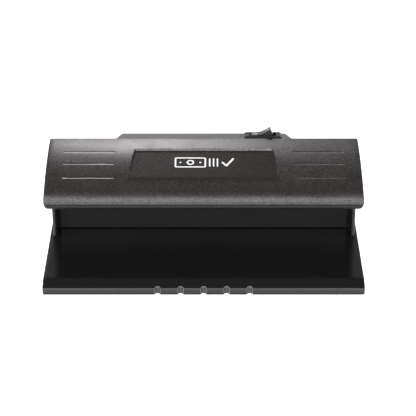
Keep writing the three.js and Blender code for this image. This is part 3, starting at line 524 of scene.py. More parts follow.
INLET_PLASTIC = moulded_plastic("inlet_black", (0.014, 0.014, 0.015), 0.5, 0.35, 0.006, 0.12, edges=0.2)
WHITE_PLASTIC = moulded_plastic("holder_white", (0.66, 0.65, 0.60), 0.4, 0.6, 0.004, 0.05)
LAMINATE = board_laminate()
FERRITE = moulded_plastic("ferrite_grey", (0.035, 0.035, 0.038), 0.65, 0.25, 0.02, 0.3)
SLEEVE = moulded_plastic("capacitor_sleeve", (0.012, 0.022, 0.055), 0.3, 0.5, 0.003, 0.1)
FILM = moulded_plastic("film_capacitor", (0.50, 0.30, 0.035), 0.35, 0.5, 0.004, 0.1)
RED_WIRE = moulded_plastic("wire_red", (0.28, 0.014, 0.010), 0.42, 0.5, 0.003, 0.1)
BLUE_WIRE = moulded_plastic("wire_blue", (0.014, 0.06, 0.26), 0.42, 0.5, 0.003, 0.1)
WHITE_WIRE = moulded_plastic("wire_white", (0.62, 0.61, 0.57), 0.45, 0.5, 0.003, 0.08)
STEEL = metal("zinc_steel", (0.56, 0.57, 0.60), 0.32)
BRASS = metal("brass", (0.75, 0.55, 0.22), 0.28)
COPPER = metal("winding_copper", (0.62, 0.26, 0.11), 0.35, (1, 1, 6), 0.5)
ALUMINIUM = metal("rolled_aluminium", (0.80, 0.81, 0.82), 0.2, (0.02, 1, 1), 0.25)
RUBBER = rubber_material()
GLASS = lamp_glass()
PRINT = printed_white()


# ---- hood cover
COVER_BOTTOM = COVER_LOW.z + 2.3
COVER_FRONT = 38.6
NOSE_RADIUS = 11.5
NOSE_SLOPE = math.radians(27.8)
CREST_RADIUS = 1.8
SHOULDER_RADIUS = 4.0
REAR_NORMAL = math.radians(24.1)
END_RADIUS = 1.6
EDGE = 0.5
DRAFT = math.tan(math.radians(2))
DRAFT_FROM = 58.0
FLAT_GRID = 118.0
FIELD_FRONT, FIELD_REAR = 57.0, 91.0
FIELD_HALF_FRONT, FIELD_HALF_REAR = 62.0, 57.9
FIELD_MIDDLE = (FIELD_HALF_FRONT + FIELD_HALF_REAR) / 2
FIELD_STEP = 1.7
FIELD_WALL = 0.75
FIELD_CORNER = 1.4
GROOVE_X = (73.5, 116.5)
GROOVES = ((55.6, 57.1), (70.0, 71.7), (84.1, 86.6))
GROOVE_RISE = 0.05
GROOVE_WALL = math.radians(42)

NOSE_CENTRE = Vector((COVER_FRONT + NOSE_RADIUS, COVER_BOTTOM))
NOSE_END = NOSE_CENTRE + NOSE_RADIUS * Vector((-math.sin(NOSE_SLOPE), math.cos(NOSE_SLOPE)))
ARC_RADIUS = (CREST_BACK - NOSE_END.x) / math.sin(NOSE_SLOPE)
ARC_CENTRE = Vector((CREST_BACK, NOSE_END.y - ARC_RADIUS * math.cos(NOSE_SLOPE)))
CREST = ARC_CENTRE.y + ARC_RADIUS


def cover_surface(back):
    """The height of the hood's long arc."""
    return ARC_CENTRE.y + math.sqrt(ARC_RADIUS**2 - (back - ARC_CENTRE.x) ** 2)


def polar(centre, radius, angle):
    return centre + radius * Vector((math.cos(angle), math.sin(angle)))


def sweep(centre, radius, start, end, count):
    return [polar(centre, radius, start + (end - start) * k / count) for k in range(count + 1)]


def cover_profile(inset, backs, bottom=COVER_BOTTOM, edge=EDGE):
    """The hood's side view, moved inwards: (back, z) points from the front lip over the crest to the rear."""
    front = COVER_FRONT + inset
    rear = HOUSING_REAR - inset
    low = bottom + edge
    points = []
    if edge:
        points += sweep(Vector((front + edge, low)), edge, math.radians(270), math.radians(180), 4)
    else:
        points.append(Vector((front, low)))
    nose_start = math.pi - (math.asin(edge / NOSE_RADIUS) if edge else 0)
    points += sweep(NOSE_CENTRE, NOSE_RADIUS - inset, nose_start, math.pi / 2 + NOSE_SLOPE, 20)[1:]
    for back in backs:
        turn = math.acos((back - ARC_CENTRE.x) / ARC_RADIUS)
        points.append(polar(ARC_CENTRE, ARC_RADIUS - inset, turn))
    crest_centre = Vector((CREST_BACK, CREST - CREST_RADIUS))
    points += sweep(crest_centre, CREST_RADIUS - min(inset, CREST_RADIUS - 0.1), math.pi / 2, REAR_NORMAL, 7)
    normal = Vector((math.cos(REAR_NORMAL), math.sin(REAR_NORMAL)))
    shoulder_back = HOUSING_REAR - SHOULDER_RADIUS
    reach = normal.dot(crest_centre) + CREST_RADIUS - SHOULDER_RADIUS - normal.x * shoulder_back
    shoulder = Vector((shoulder_back, reach / normal.y))
    points += sweep(shoulder, SHOULDER_RADIUS - inset, REAR_NORMAL, 0, 5)
    if edge:
        points += sweep(Vector((rear - edge, low)), edge, 0, math.radians(-90), 4)
    else:
        points.append(Vector((rear, low)))
    return points


def field_half(back):
    share = (back - FIELD_FRONT) / (FIELD_REAR - FIELD_FRONT)
    return FIELD_HALF_FRONT + (FIELD_HALF_REAR - FIELD_HALF_FRONT) * min(max(share, 0), 1)


def ramp(value, low, high):
    share = min(max((value - low) / (high - low), 0), 1)
    return share * share * (3 - 2 * share)


def field_depth(x, back):
    """How far the emblem field lies under the hood. Its floor is flat and runs out at the lower edge."""
    beside = field_half(back) - abs(x)
    behind = FIELD_REAR - back
    if beside < FIELD_CORNER and behind < FIELD_CORNER:
        inside = FIELD_CORNER - math.hypot(FIELD_CORNER - beside, FIELD_CORNER - behind)
    else:
        inside = min(beside, behind)
    if inside <= 0:
        return 0.0
    low = cover_surface(FIELD_FRONT)
    high = cover_surface(FIELD_REAR) - FIELD_STEP
    floor = low + (high - low) * (back - FIELD_FRONT) / (FIELD_REAR - FIELD_FRONT)
    drop = cover_surface(back) - floor
    side_wall = ramp(beside, 0, FIELD_WALL / 2)
    return (drop + math.hypot(drop, 0.12)) / 2 * min(inside / FIELD_WALL, side_wall, 1)


def groove_end(start, foot):
    """Where a groove's rear wall comes back to the surface."""
    slope = (cover_surface(foot + 0.5) - cover_surface(foot)) / 0.5
    depth = cover_surface(foot) - cover_surface(start) - GROOVE_RISE * (foot - start)
    return foot + depth / (math.tan(GROOVE_WALL) - slope)


def groove_depth(x, back):
    """Each groove starts flush at its front, has a nearly level floor and ends at a sloping rear wall."""
    within = min(abs(x) - GROOVE_X[0], GROOVE_X[1] - abs(x))
    for start, foot in GROOVES:
        if start < back < groove_end(start, foot):
            floor = cover_surface(start) + GROOVE_RISE * (min(back, foot) - start)
            floor += math.tan(GROOVE_WALL) * max(back - foot, 0)
            return (cover_surface(back) - floor) * ramp(within, 0, 0.7)
    return 0.0


def spread(stations, low, high, widest):
    """Fills the spaces between stations, so that no two neighbours are further apart than widest."""
    known = sorted({low, high, *[s for s in stations if low < s < high]})
    filled = []
    for here, onward in zip(known, known[1:]):
        count = max(1, math.ceil((onward - here) / widest))
        filled += [here + (onward - here) * k / count for k in range(count)]
    return filled + [high]


GROOVE_END = (-0.1, 0.0, 0.12, 0.24, 0.36, 0.48, 0.6, 0.72)


def cover_backs():
    """Where the long arc's rows lie: close together at every groove wall and at the field's upper step."""
    stations = []
    for start, foot in GROOVES:
        end = groove_end(start, foot)
        stations += [start - 0.1, start, start + 0.1, foot - 0.1, foot, foot + 0.1, end - 0.1, end, end + 0.1]
    stations += [FIELD_REAR - s for s in (-0.1, 0, 0.1, 0.2, 0.35, 0.5, 0.6, 0.7, 0.8, 1.1)]
    stations += [FIELD_FRONT + s for s in (-0.5, -0.25, 0, 0.25, 0.5)]
    return spread(stations, NOSE_END.x, CREST_BACK, 1.3)[1:-1]


def cover_columns():
    """Where the grid's lengthways lines start, for one half of the hood."""
    stations = [FIELD_MIDDLE - s for s in (-0.3, -0.1, 0, 0.1, 0.2, 0.3, 0.42, 0.55, 0.7, 1.0, 1.4)]
    stations += [GROOVE_X[0] + s for s in GROOVE_END]
    stations += [GROOVE_X[1] - s for s in GROOVE_END]
    half = spread(stations, 0, FLAT_GRID, 9) + spread([], FLAT_GRID, HALF - END_RADIUS, 4)[1:]
    return [-c for c in reversed(half[1:])] + half


def column_x(column, back, z):
    """Lines beside the field slant with its ends, and the lines near the hood's ends follow its draft."""
    size = abs(column)
    near = min(max(1.25 - abs(size - FIELD_MIDDLE + 0.5) / 8, 0), 1)
    size += (field_half(back) - FIELD_MIDDLE) * near
    if size > FLAT_GRID:
        end = HALF - DRAFT * (z - DRAFT_FROM)
        size = FLAT_GRID + (size - FLAT_GRID) * (end - FLAT_GRID) / (HALF - FLAT_GRID)
    return math.copysign(size, column)


def cover_ring(column, inset, backs):
    ring = []
    for point in cover_profile(inset, backs):
        x = column_x(column, point.x, point.y)
        drop = 0.0
        if inset == 0 and NOSE_END.x < point.x < CREST_BACK:
            drop = max(field_depth(x, point.x), groove_depth(x, point.x))
        ring.append((x, y(point.x), point.y - drop))
    return ring


def cover_outside():
    backs = cover_backs()
    rounding = [math.pi / 2 * k / 5 for k in range(1, 6)]
    ends = [(HALF - END_RADIUS + END_RADIUS * math.sin(t), END_RADIUS * (1 - math.cos(t))) for t in rounding]
    rings = [cover_ring(-column, inset, backs) for column, inset in reversed(ends)]
    rings += [cover_ring(column, 0, backs) for column in cover_columns()]
    rings += [cover_ring(column, inset, backs) for column, inset in ends]
    return loft(rings)


def ridge_plan(front_back, inset=0.0, corner=1.2):
    """The trapezoid of the ridge behind the crest."""
    share = (front_back - CREST_BACK) / (RIDGE_REAR - CREST_BACK)
    front = RIDGE_HALF_FRONT + (RIDGE_HALF_REAR - RIDGE_HALF_FRONT) * max(share, 0) - inset
    rear = RIDGE_HALF_REAR - inset
    corners = [(-front, front_back, 0), (front, front_back, 0), (rear, RIDGE_REAR - inset, corner)]
    corners.append((-rear, RIDGE_REAR - inset, corner))
    return rounded([(a, y(b), r) for a, b, r in corners])


def ridge_top(drop=0.0):
    return lambda b: CREST - 0.2 - (b - y(CREST_BACK)) * math.tan(RIDGE_TILT) - drop


SWITCH_X = 49.95
SWITCH_BACK = 114.75
SWITCH_FRAME = Matrix.Translation((SWITCH_X, y(SWITCH_BACK), ridge_top()(y(SWITCH_BACK)))) @ Matrix.Rotation(
    -RIDGE_TILT, 4, "X"
)
HOOD_SCREW = (120.0, 50.0)
REAR_TAB_X = 100.0
REAR_TAB_Z = 68.0
SCREW_HOLE = 1.8
COUNTERSINK = 3.4


def screw_holes(start, end, x, other, place=upwards):
    """A screw hole on each side of the middle."""
    return both(lambda s: rod(SCREW_HOLE, start, end, (s * x, other), place, 24))


def countersink(low, at):
    """A cone for a countersunk head, down to just under the face at this height."""
    return rod(COUNTERSINK, low - 0.3, low + 1.7, at, top_radius=SCREW_HOLE)


def in_switch_frame(made):
    made.data.transform(SWITCH_FRAME)
    return made


def cover_inside():
    backs = spread([], NOSE_END.x, CREST_BACK, 3)[1:-1]
    profile = cover_profile(COVER_WALL, backs, COVER_BOTTOM - 6, 0)
    ring = [(p.x, p.y) for p in profile]
    ends = []
    for side in (-1, 1):
        ends.append([(side * (HALF - COVER_WALL - DRAFT * (z - DRAFT_FROM)), y(back), z) for back, z in ring])
    return loft(ends)


def hood_shell():
    """The hood's moulding: curved shell, ridge, emblem field, grooves, switch cut-out and screw posts."""
    shell = cover_outside()
    ridge = moulded(ridge_plan(CREST_BACK), COVER_BOTTOM, ridge_top(), 0, 0.6)
    shell = joined(shell, ridge)
    hollow_plan = ridge_plan(CREST_BACK - 1, COVER_WALL, 0.5)
    ridge_hollow = moulded(hollow_plan, COVER_BOTTOM - 6, ridge_top(COVER_WALL))
    opening = in_switch_frame(moulded(oblong(13.75, 5.8, 0.4), -12, 6))
    shell = cut(shell, cover_inside(), ridge_hollow, opening)
    x, back = HOOD_SCREW
    post_top = cover_surface(back) - 2
    shell = joined(shell, *both(lambda s: rod(3.6, 61, post_top, (s * x, y(back)))))
    holes = screw_holes(55, 69.5, x, y(back))
    rear = HOUSING_REAR - COVER_WALL - 2
    holes += screw_holes(y(rear), y(rear + 9), REAR_TAB_X, REAR_TAB_Z, along_y)
    return cut(shell, *holes)


def mask_field(made):
    """Marks the emblem field, whose floor and steps are polished, with a soft lower end."""
    mask = made.data.attributes.new(FIELD_MASK, "FLOAT", "POINT")
    for vertex in made.data.vertices:
        x, across, z = vertex.co / MM
        back = across - FRONT
        if NOSE_END.x < back < CREST_BACK and cover_surface(back) - z < 2.4:
            share = ramp(back, FIELD_FRONT - 8, FIELD_FRONT + 2)
            share *= ramp(field_half(back) - abs(x), -0.1, 0.4)
            mask.data[vertex.index].value = share * ramp(FIELD_REAR - back, -0.1, 0.1)


cover = piece(hood_shell(), "hood_shell", ["hood_cover"], "textured_cover", COVER_PLASTIC, even=False)
mask_field(cover)


# ---- emblem print
def field_point(x, up, lift):
    """A point on the emblem field's floor: up runs up its slope from its middle, and lift stands off it."""
    start = Vector((y(FIELD_FRONT), cover_surface(FIELD_FRONT)))
    end = Vector((y(FIELD_REAR), cover_surface(FIELD_REAR) - FIELD_STEP))
    along = (end - start).normalized()
    off = Vector((-along.y, along.x))
    point = start.lerp(end, 0.5) + along * up + off * lift
    return (x, point.x, point.y)


def print_mark(outline, lift=0.05):
    rings = [[field_point(p.x, p.y, level) for p in outline] for level in (-0.2, lift)]
    return loft(rings)


def ring_mark(outer, inner):
    return cut(print_mark(outer), print_mark(inner, 1))


def bar(a, b, width):
    """A printed stroke with round ends from a to b."""
    a, b = Vector(a), Vector(b)
    side = (b - a).normalized().orthogonal() * (width / 2)
    ahead = (b - a).normalized() * (width / 2)
    corners = [a - side - ahead, b - side + ahead, b + side + ahead, a + side - ahead]
    if (corners[1] - corners[0]).cross(corners[2] - corners[1]) < 0:
        corners.reverse()
    return rounded([(c.x, c.y, width * 0.49) for c in corners], 18)


MARK_UP = 1.5
NOTE = (-11, MARK_UP)


def emblem():
    """A generic pictogram: a banknote, a lamp's rays falling on it and a tick."""
    note = [ring_mark(oblong(13, 6.4, 1.6, NOTE), oblong(11.7, 5.1, 0.8, NOTE))]
    note.append(ring_mark(circle(3.1, NOTE), circle(1.9, NOTE)))
    note += [print_mark(circle(0.8, (NOTE[0] + side * 8.2, MARK_UP), 20)) for side in (-1, 1)]
    columns = [5 + i * 3.2 for i in range(3)]
    rays = [print_mark(bar((x, MARK_UP + 4.6), (x, MARK_UP - 4.6), 1.2)) for x in columns]
    tick = joined(
        print_mark(bar((15.6, MARK_UP - 0.2), (18.8, MARK_UP - 4.2), 1.7)),
        print_mark(bar((18.8, MARK_UP - 4.2), (24.4, MARK_UP + 4.6), 1.7)),
    )
    return grouped(*note, *rays, tick)


piece(emblem(), "emblem_print", [], None, PRINT)


# ---- lamp tray
TRAY_BOTTOM = TRAY_LOW.z
TRAY_FLOOR = TRAY_BOTTOM + WALL
TRAY_TOP = COVER_BOTTOM - GAP
TRAY_HALF = TRAY_HIGH.x
LIP_RADIUS = 3.4
TUBE_BACK = 73.0
TUBE_AXIS = 70.2


def tray_outline(inset, radius):
    half = TRAY_HALF - inset
    front = y(COVER_FRONT + 0.1 + inset)
    rear = y(HOUSING_REAR - inset)
    return box_outline(-half, half, front, rear, radius, 6)


def lamp_tray_shell():
    """The tray under the hood: rounded lip, lamp window, pin notches, rear openings and screw tabs."""
    tray = moulded(tray_outline(0, LIP_RADIUS + 0.4), TRAY_BOTTOM, TRAY_TOP, LIP_RADIUS, 0.4, steps=8)
    tray = joined(tray, moulded(ridge_plan(CREST_BACK), TRAY_BOTTOM, TRAY_TOP, 0.4, 0.4))
    window = moulded(oblong(106, 16, 2, (0, y(72))), 50, 80)
    notches = moulded(oblong(114.3, 3.4, 1.2, (0, y(TUBE_BACK))), 50, 80)
    tray = cut(
        tray,
        moulded(tray_outline(WALL, 1.4), TRAY_FLOOR, 90),
        moulded(ridge_plan(HOUSING_REAR - 8, WALL, 0.6), TRAY_FLOOR, 90),
        window,
        notches,
        moulded(oblong(116, 7.9, 1.5, (0, y(102.4))), 50, 80),
        moulded(oblong(64, 9, 1.5, (0, y(109))), 50, 80),
    )
    tabs = both(lambda s: moulded(oblong(6, 1.1, 0.3, (s * REAR_TAB_X, y(110.6))), TRAY_BOTTOM, 72, 0, 0.4))
    tray = joined(tray, *tabs)
    x, back = HOOD_SCREW
    holes = screw_holes(55, 65, x, y(back))
    holes += both(lambda s: countersink(TRAY_BOTTOM, (s * x, y(back))))
    holes += screw_holes(y(106), y(114), REAR_TAB_X, REAR_TAB_Z, along_y)
    return cut(tray, *holes)


piece(lamp_tray_shell(), "lamp_tray_shell", ["lamp_tray"], "housing_black", TRAY_PLASTIC)


# ---- base
FLOOR_TOP = BASE_HIGH.z
EDGE_TOP = 7.6
BEVEL_RUN = 10.9
RIM = 0.9
BASE_CORNER = 1.7
NOTCH_PITCH = 18.7
NOTCH_RADIUS = 1.9
NOTCH_CENTRE = 0.2
NOTCH_MOUTH = 1.0
FRONT_SCREW = (112.0, 30.0)
REAR_SCREW = (121.3, 103.0)
BASE_SCREWS = (FRONT_SCREW, REAR_SCREW)
BASE_SCREW_LOW = 1.8


def base_top(b):
    """The base's upper surface: a sloping front band with a softened crease, then the flat viewing floor."""
    back = b - FRONT
    slope = (FLOOR_TOP - EDGE_TOP) / BEVEL_RUN
    meet = BEVEL_RUN
    soft = 0.8
    if back < meet - soft:
        return EDGE_TOP + slope * back
    if back > meet + soft:
        return FLOOR_TOP
    share = (back - meet + soft) / (2 * soft)
    return EDGE_TOP + slope * (meet - soft) + slope * 2 * soft * (share - share * share / 2)


def notch(x):
    """A half-round finger notch with rounded lips, as a stretch of the base's outline."""
    reach = NOTCH_RADIUS + NOTCH_MOUTH
    drop = NOTCH_MOUTH - NOTCH_CENTRE
    beside = math.sqrt(reach**2 - drop**2)
    meet = -math.asin(drop / reach)
    lip = sweep(Vector((x - beside, y(NOTCH_MOUTH))), NOTCH_MOUTH, -math.pi / 2, meet, 8)
    hollow = sweep(Vector((x, y(NOTCH_CENTRE))), NOTCH_RADIUS, math.pi + meet, -meet, 20)
    far_lip = sweep(Vector((x + beside, y(NOTCH_MOUTH))), NOTCH_MOUTH, math.pi - meet, math.pi * 1.5, 8)
    return lip + hollow[1:-1] + far_lip


def base_outline():
    """The base's plan, with the notches after the point where its front edge starts."""
    plain = box_outline(-HALF, HALF, y(0), BASE_HIGH.y, BASE_CORNER, 6)
    first = next(i for i, p in enumerate(plain) if p.y < y(0.001) and p.x > -HALF)
    notches = [point for i in range(-2, 3) for point in notch(i * NOTCH_PITCH)]
    return plain[:first + 1] + notches + plain[first + 1:]


def base_shell():
    """The base moulding, open underneath, with rounded rims and five finger notches in its front edge."""
    creases = [y(BEVEL_RUN + offset) for offset in (-0.8, -0.4, 0, 0.4, 0.8)]
    outline = with_stations(base_outline(), creases)
    shell = moulded(outline, BASE_LOW.z, base_top, 0.4, RIM, creases=creases, steps=6)
    half = HALF - WALL
    hollow = rounded([(y(4.6), 0, 0), (y(122.6), 0, 0), (y(122.6), FLOOR_TOP - WALL, 0.6),
                      (y(BEVEL_RUN), FLOOR_TOP - WALL, 0.6), (y(4.6), EDGE_TOP - 1.2, 0.6)])
    shell = cut(shell, moulded(hollow, -half, half, place=along_x))
    posts = [rod(3.8, 4.1, FLOOR_TOP - 1, (s * x, y(b))) for _, s in SIDES for x, b in BASE_SCREWS]
    shell = joined(shell, *posts)
    holes = screw_holes(3, 8.2, FRONT_SCREW[0], y(FRONT_SCREW[1]))
    holes += screw_holes(3, 20, REAR_SCREW[0], y(REAR_SCREW[1]))
    return cut(shell, *holes)


def mask_rim_highlights(made):
    """Marks where a highlight is painted: most on the lips of the notches, and less strongly on their hollows
    and the rounded rim around the top.
    """
    mask = made.data.attributes.new(RIM_HIGHLIGHT_MASK, "FLOAT", "POINT")
    for vertex in made.data.vertices:
        x, across, z = vertex.co / MM
        nearest = min(max(round(x / NOTCH_PITCH), -2), 2) * NOTCH_PITCH
        apart = math.hypot(x - nearest, across - FRONT - NOTCH_CENTRE)
        inside = min(HALF - abs(x), across - FRONT, BASE_HIGH.y - across)
        rim = 0.28 * max(1 - abs(inside / RIM - 0.3) / 0.5, 0) if z > EDGE_TOP - RIM - 0.1 else 0
        lip = max(1 - abs(apart - NOTCH_RADIUS - 0.3) / 0.4, 0)
        hollow = 0.2 if apart < NOTCH_RADIUS + 0.1 else 0
        mask.data[vertex.index].value = max(rim, lip, hollow)


base = piece(base_shell(), "base_shell", ["base_tray"], "smooth_black", BASE_PLASTIC)
mask_rim_highlights(base)

FOOT_X = 110.0
FOOT_BACKS = (("front", 14), ("rear", 110))
FEET = [(side * FOOT_X, back, f"foot_{end}_{name}") for name, side in SIDES for end, back in FOOT_BACKS]


def bottom_panel():
    """The plate that closes the base, with countersinks and foot holes."""
    centre = (0, (PLATE_LOW.y + PLATE_HIGH.y) / 2)
    half_depth = (PLATE_HIGH.y - PLATE_LOW.y) / 2
    panel = moulded(oblong(PLATE_HIGH.x, half_depth, 1.2, centre), PLATE_LOW.z, PLATE_HIGH.z, 0.3, 0.2)
    holes = []
    for _, side in SIDES:
        for x, back in BASE_SCREWS:
            at = (side * x, y(back))
            holes += [rod(SCREW_HOLE, 0, 6, at, count=24), countersink(PLATE_LOW.z, at)]
    holes += [rod(2.5, 0, 6, (x, y(back)), count=24) for x, back, _ in FEET]
    ribs = [moulded(oblong(48, 1.0, 0.9, (0, y(back))), 0, PLATE_LOW.z + 0.6) for back in range(40, 96, 8)]
    return cut(panel, *holes, *ribs)


piece(bottom_panel(), "bottom_panel", ["bottom_plate"], "housing_black", HOUSING_PLASTIC)


def rubber_foot(x, back):
    """A turned foot: a tread with a shallow ring, a neck and a button that is pulled through the plate."""
    profile = arc_profile([
        (0, 0.25, 0), (2.6, 0.25, 0.2), (3.1, 0.03, 0.2), (5.6, 0.03, 0.6), (6, 1.5, 0.2), (2.2, 1.5, 0.1),
        (2.2, 4.1, 0.1), (3.3, 4.1, 0.3), (2.3, 5.4, 0.3), (0, 5.4, 0),
    ])
    return turned(profile, (x, y(back)))


for foot_x, foot_back, foot_name in FEET:
    piece(rubber_foot(foot_x, foot_back), foot_name + "_tread", [foot_name], "rubber", RUBBER)


# ---- screws
def thread(radius, start, end, pitch=0.8, depth=0.35):
    """Ridges along a shank, as (radius, height) points."""
    ridges = []
    level = start
    while level + pitch < end:
        ridges += [(radius - depth, level), (radius, level + pitch / 2)]
        level += pitch
    return ridges + [(radius - depth, level)]


def cross_recess(centre, start, end, place=upwards):
    """The two tapered bars of a cross recess."""
    arms = []
    for turn in (0, math.pi / 2):
        spin = Matrix.Rotation(turn, 2)
        rings = []
        for half_long, half_wide, level in ((1.75, 0.5, start), (0.7, 0.25, end)):
            corners = box_outline(-half_long, half_long, -half_wide, half_wide)
            points = [Vector(centre) + spin @ corner for corner in corners]
            rings.append([place(p.x, p.y, level) for p in points])
        arms.append(loft(rings))
    return arms


def countersunk_screw(length, x, back, z):
    """A screw along Z with its flat head below."""
    head = [(0, z, 0), (2.8, z, 0.12), (2.8, z + 0.25, 0.1), (1.5, z + 1.5, 0.2)]
    profile = arc_profile([*head, (1.5, z + 1.9, 0), (0, z + 1.9, 0)])[:-2]
    profile += thread(1.5, z + 1.9, z + length - 1.2)
    profile += [(0.9, z + length - 0.6), (0, z + length)]
    made = turned(profile, (x, y(back)), count=36)
    return cut(made, *cross_recess((x, y(back)), z - 0.1, z + 1.1))


def pan_screw(length, x, z, head_back):
    """A screw along Y with its domed head at the rear."""
    head = y(head_back)
    turns = [math.radians(a) for a in range(0, 91, 15)]
    profile = [(2.9 * math.sin(t), head - 1.1 * (1 - math.cos(t))) for t in turns]
    profile += [(2.9, head - 1.7), (2.7, head - 1.8), (1.5, head - 1.8)]
    profile += [(r, head - 2.2 - h) for r, h in thread(1.5, 0, length - 3.6)]
    profile += [(0.9, head - length + 0.6), (0, head - length)]
    made = turned(profile, (x, z), along_y, 36)
    return cut(made, *cross_recess((x, z), head + 0.1, head - 1.2, along_y))


def steel_screw(made, node):
    piece(made, node + "_steel", [node], "steel", STEEL)


for side_name, side in SIDES:
    for end, (screw_x, screw_back), length in zip(("front", "rear"), BASE_SCREWS, (6, 18)):
        made = countersunk_screw(length, side * screw_x, screw_back, BASE_SCREW_LOW)
        steel_screw(made, f"base_screw_{end}_{side_name}")
    made = countersunk_screw(9.5, side * HOOD_SCREW[0], HOOD_SCREW[1], TRAY_BOTTOM)
    steel_screw(made, f"hood_screw_front_{side_name}")
    made = pan_screw(9.5, side * REAR_TAB_X, REAR_TAB_Z, HOUSING_REAR + GAP + 1.8)
    steel_screw(made, f"hood_screw_rear_{side_name}")


# ---- rear housing
CHEEK_BACK = 75.6
CHEEK_OUTER = HOUSING_HIGH.x
CHEEK_INNER = 125.2
PANEL_BACK = 90.0
PANEL_HALF = 122.8
INLET_X = 50.0
INLET_Z = 33.0
INLET_PIN = 4.3
BOARD_SCREWS = (-101.0, -21.0)
BOARD_SCREW_Z = 34.0


def housing_outline():
    share = (HOUSING_REAR - CREST_BACK) / (RIDGE_REAR - CREST_BACK)
    ridge_half = RIDGE_HALF_FRONT + (RIDGE_HALF_REAR - RIDGE_HALF_FRONT) * share
    half = [(CHEEK_INNER, CHEEK_BACK, 1.3), (CHEEK_OUTER, CHEEK_BACK, 1.3), (CHEEK_OUTER, HOUSING_REAR, 2.2)]
    half += [(ridge_half, HOUSING_REAR, 1.0), (RIDGE_HALF_REAR, RIDGE_REAR, 1.4)]
    right = [(PANEL_HALF, PANEL_BACK, 0.8), *half]
    left = [(-a, b, r) for a, b, r in reversed(right)]
    return rounded([(a, y(b), r) for a, b, r in right + left])


def vent(x):
    return moulded(oblong(1.1, 13, 1.05, (x, 35)), y(HOUSING_REAR - 6), y(HOUSING_REAR + 6), place=along_y)


def rear_housing_shell():
    """The rear box with its two cheeks, vents, inlet hole and bosses."""
    shell = moulded(housing_outline(), HOUSING_LOW.z, HOUSING_HIGH.z, 1.0, 0.4)
    inner = CHEEK_OUTER - WALL
    middle = (0, y((HOUSING_REAR + PANEL_BACK) / 2))
    room = moulded(oblong(inner, (HOUSING_REAR - PANEL_BACK) / 2 - WALL, 1, middle), 0, 80)
    shell = cut(shell, room, moulded(ridge_plan(PANEL_BACK + 10, WALL, 0.6), 0, 80))
    x, back = REAR_SCREW
    bosses = both(lambda s: rod(4.8, HOUSING_LOW.z, HOUSING_LOW.z + 12, (s * x, y(back))))
    bosses += [rod(3.2, y(PANEL_BACK + 2), y(95), (bx, BOARD_SCREW_Z), along_y) for bx in BOARD_SCREWS]
    shell = joined(shell, *bosses)
    holes = screw_holes(5, 22.2, x, y(back))
    holes += [rod(1.6, y(92.1), y(96), (bx, BOARD_SCREW_Z), along_y, 24) for bx in BOARD_SCREWS]
    holes += [vent(s * (86 + 6 * i)) for _, s in SIDES for i in range(6)]
    inlet = oblong(12.3, 7.8, 1, (INLET_X, INLET_Z))
    holes.append(moulded(inlet, y(RIDGE_REAR - 6), y(RIDGE_REAR + 6), place=along_y))
    return cut(shell, *holes)


def polish_panel(made):
    """The panel and the cheeks' inner faces are smooth; the rest of the housing is textured."""
    for polygon in made.data.polygons:
        x, across, _ = polygon.center / MM
        polygon.material_index = 1 if abs(x) < CHEEK_INNER + 0.4 and across < y(PANEL_BACK + 0.5) else 0


shell = rear_housing_shell()
housing = piece(shell, "rear_housing_shell", ["rear_housing"], "housing_black", HOUSING_PLASTIC, BASE_PLASTIC)
polish_panel(housing)


# ---- power inlet
def inlet_socket():
    """The two-pole inlet: a flange with rounded edges, its body and a cavity with round ends."""
    face = y(RIDGE_REAR + GAP)
    centre = (INLET_X, INLET_Z)
    flange = moulded(oblong(15, 10, 2, centre), face, face + 1.8, 0, 0.5, along_y)
    collar = moulded(oblong(10.6, 6.4, 6, centre), face + 1, face + 2.15, 0, 0.3, along_y)
    body = moulded(oblong(12, 7.5, 1, centre), face - 18, face + 0.5, 0.5, 0, along_y)
    made = joined(flange, collar, body)
    holes = [moulded(oblong(3.4, 3.9, 0.3, centre), face - 11, face + 5, place=along_y)]
    for side in (-1, 1):
        at = (INLET_X + side * INLET_PIN, INLET_Z)
        holes += [rod(4.1, face - 11, face + 5, at, along_y, 48), rod(1.5, face - 24, face, at, along_y, 24)]
    return cut(made, *holes)


piece(inlet_socket(), "inlet_socket", ["power_inlet"], "switch_black", INLET_PLASTIC)
for side_name, side in SIDES:
    low, high = cad_box(f"inlet_pin_{side_name}")
    pin_profile = arc_profile([(0, low.y, 0), (1.2, low.y, 0.15), (1.2, high.y, 0.7), (0, high.y, 0)])
    pin = turned(pin_profile, (INLET_X + side * INLET_PIN, INLET_Z), along_y, 32)
    piece(pin, f"inlet_contact_{side_name}", [f"inlet_pin_{side_name}"], "brass", BRASS)


# ---- lamp
AXIS = (y(TUBE_BACK), TUBE_AXIS)
TUBE_PIN = 2.375


def glass_tube():
    """The tube's filter glass with drawn-in ends."""
    half = 94.0
    radius = 7.7
    profile = arc_profile([(0, -half, 0), (radius, -half, 2), (radius, half, 2), (0, half, 0)])
    return turned(profile, AXIS, along_x, 64)


def tube_cap(side):
    """A pressed end cap with a crimped groove and a rounded end."""
    start, end = 94.3, 106.05
    groove = [(r, start + h, 0.3) for r, h in ((8, 2.2), (7.75, 2.6), (7.75, 3.2), (8, 3.6))]
    corners = [(0, start, 0), (8, start, 0.5), *groove, (8, end, 1.2), (0, end, 0)]
    made = turned([(r, side * h) for r, h in arc_profile(corners)], AXIS, along_x, 64)
    pins = []
    for offset in (-TUBE_PIN, TUBE_PIN):
        ends = sorted((side * 101.5, side * 110))
        pins.append(rod(1.48, *ends, (AXIS[0] + offset, AXIS[1]), along_x, 24))
    return cut(made, *pins)


def tube_pin(side, offset):
    ends = [(0, 101.55, 0), (1.18, 101.55, 0.1), (1.18, 113.1, 0.6), (0, 113.1, 0)]
    profile = [(r, side * h) for r, h in arc_profile(ends)]
    return turned(profile, (AXIS[0] + offset, AXIS[1]), along_x, 28)


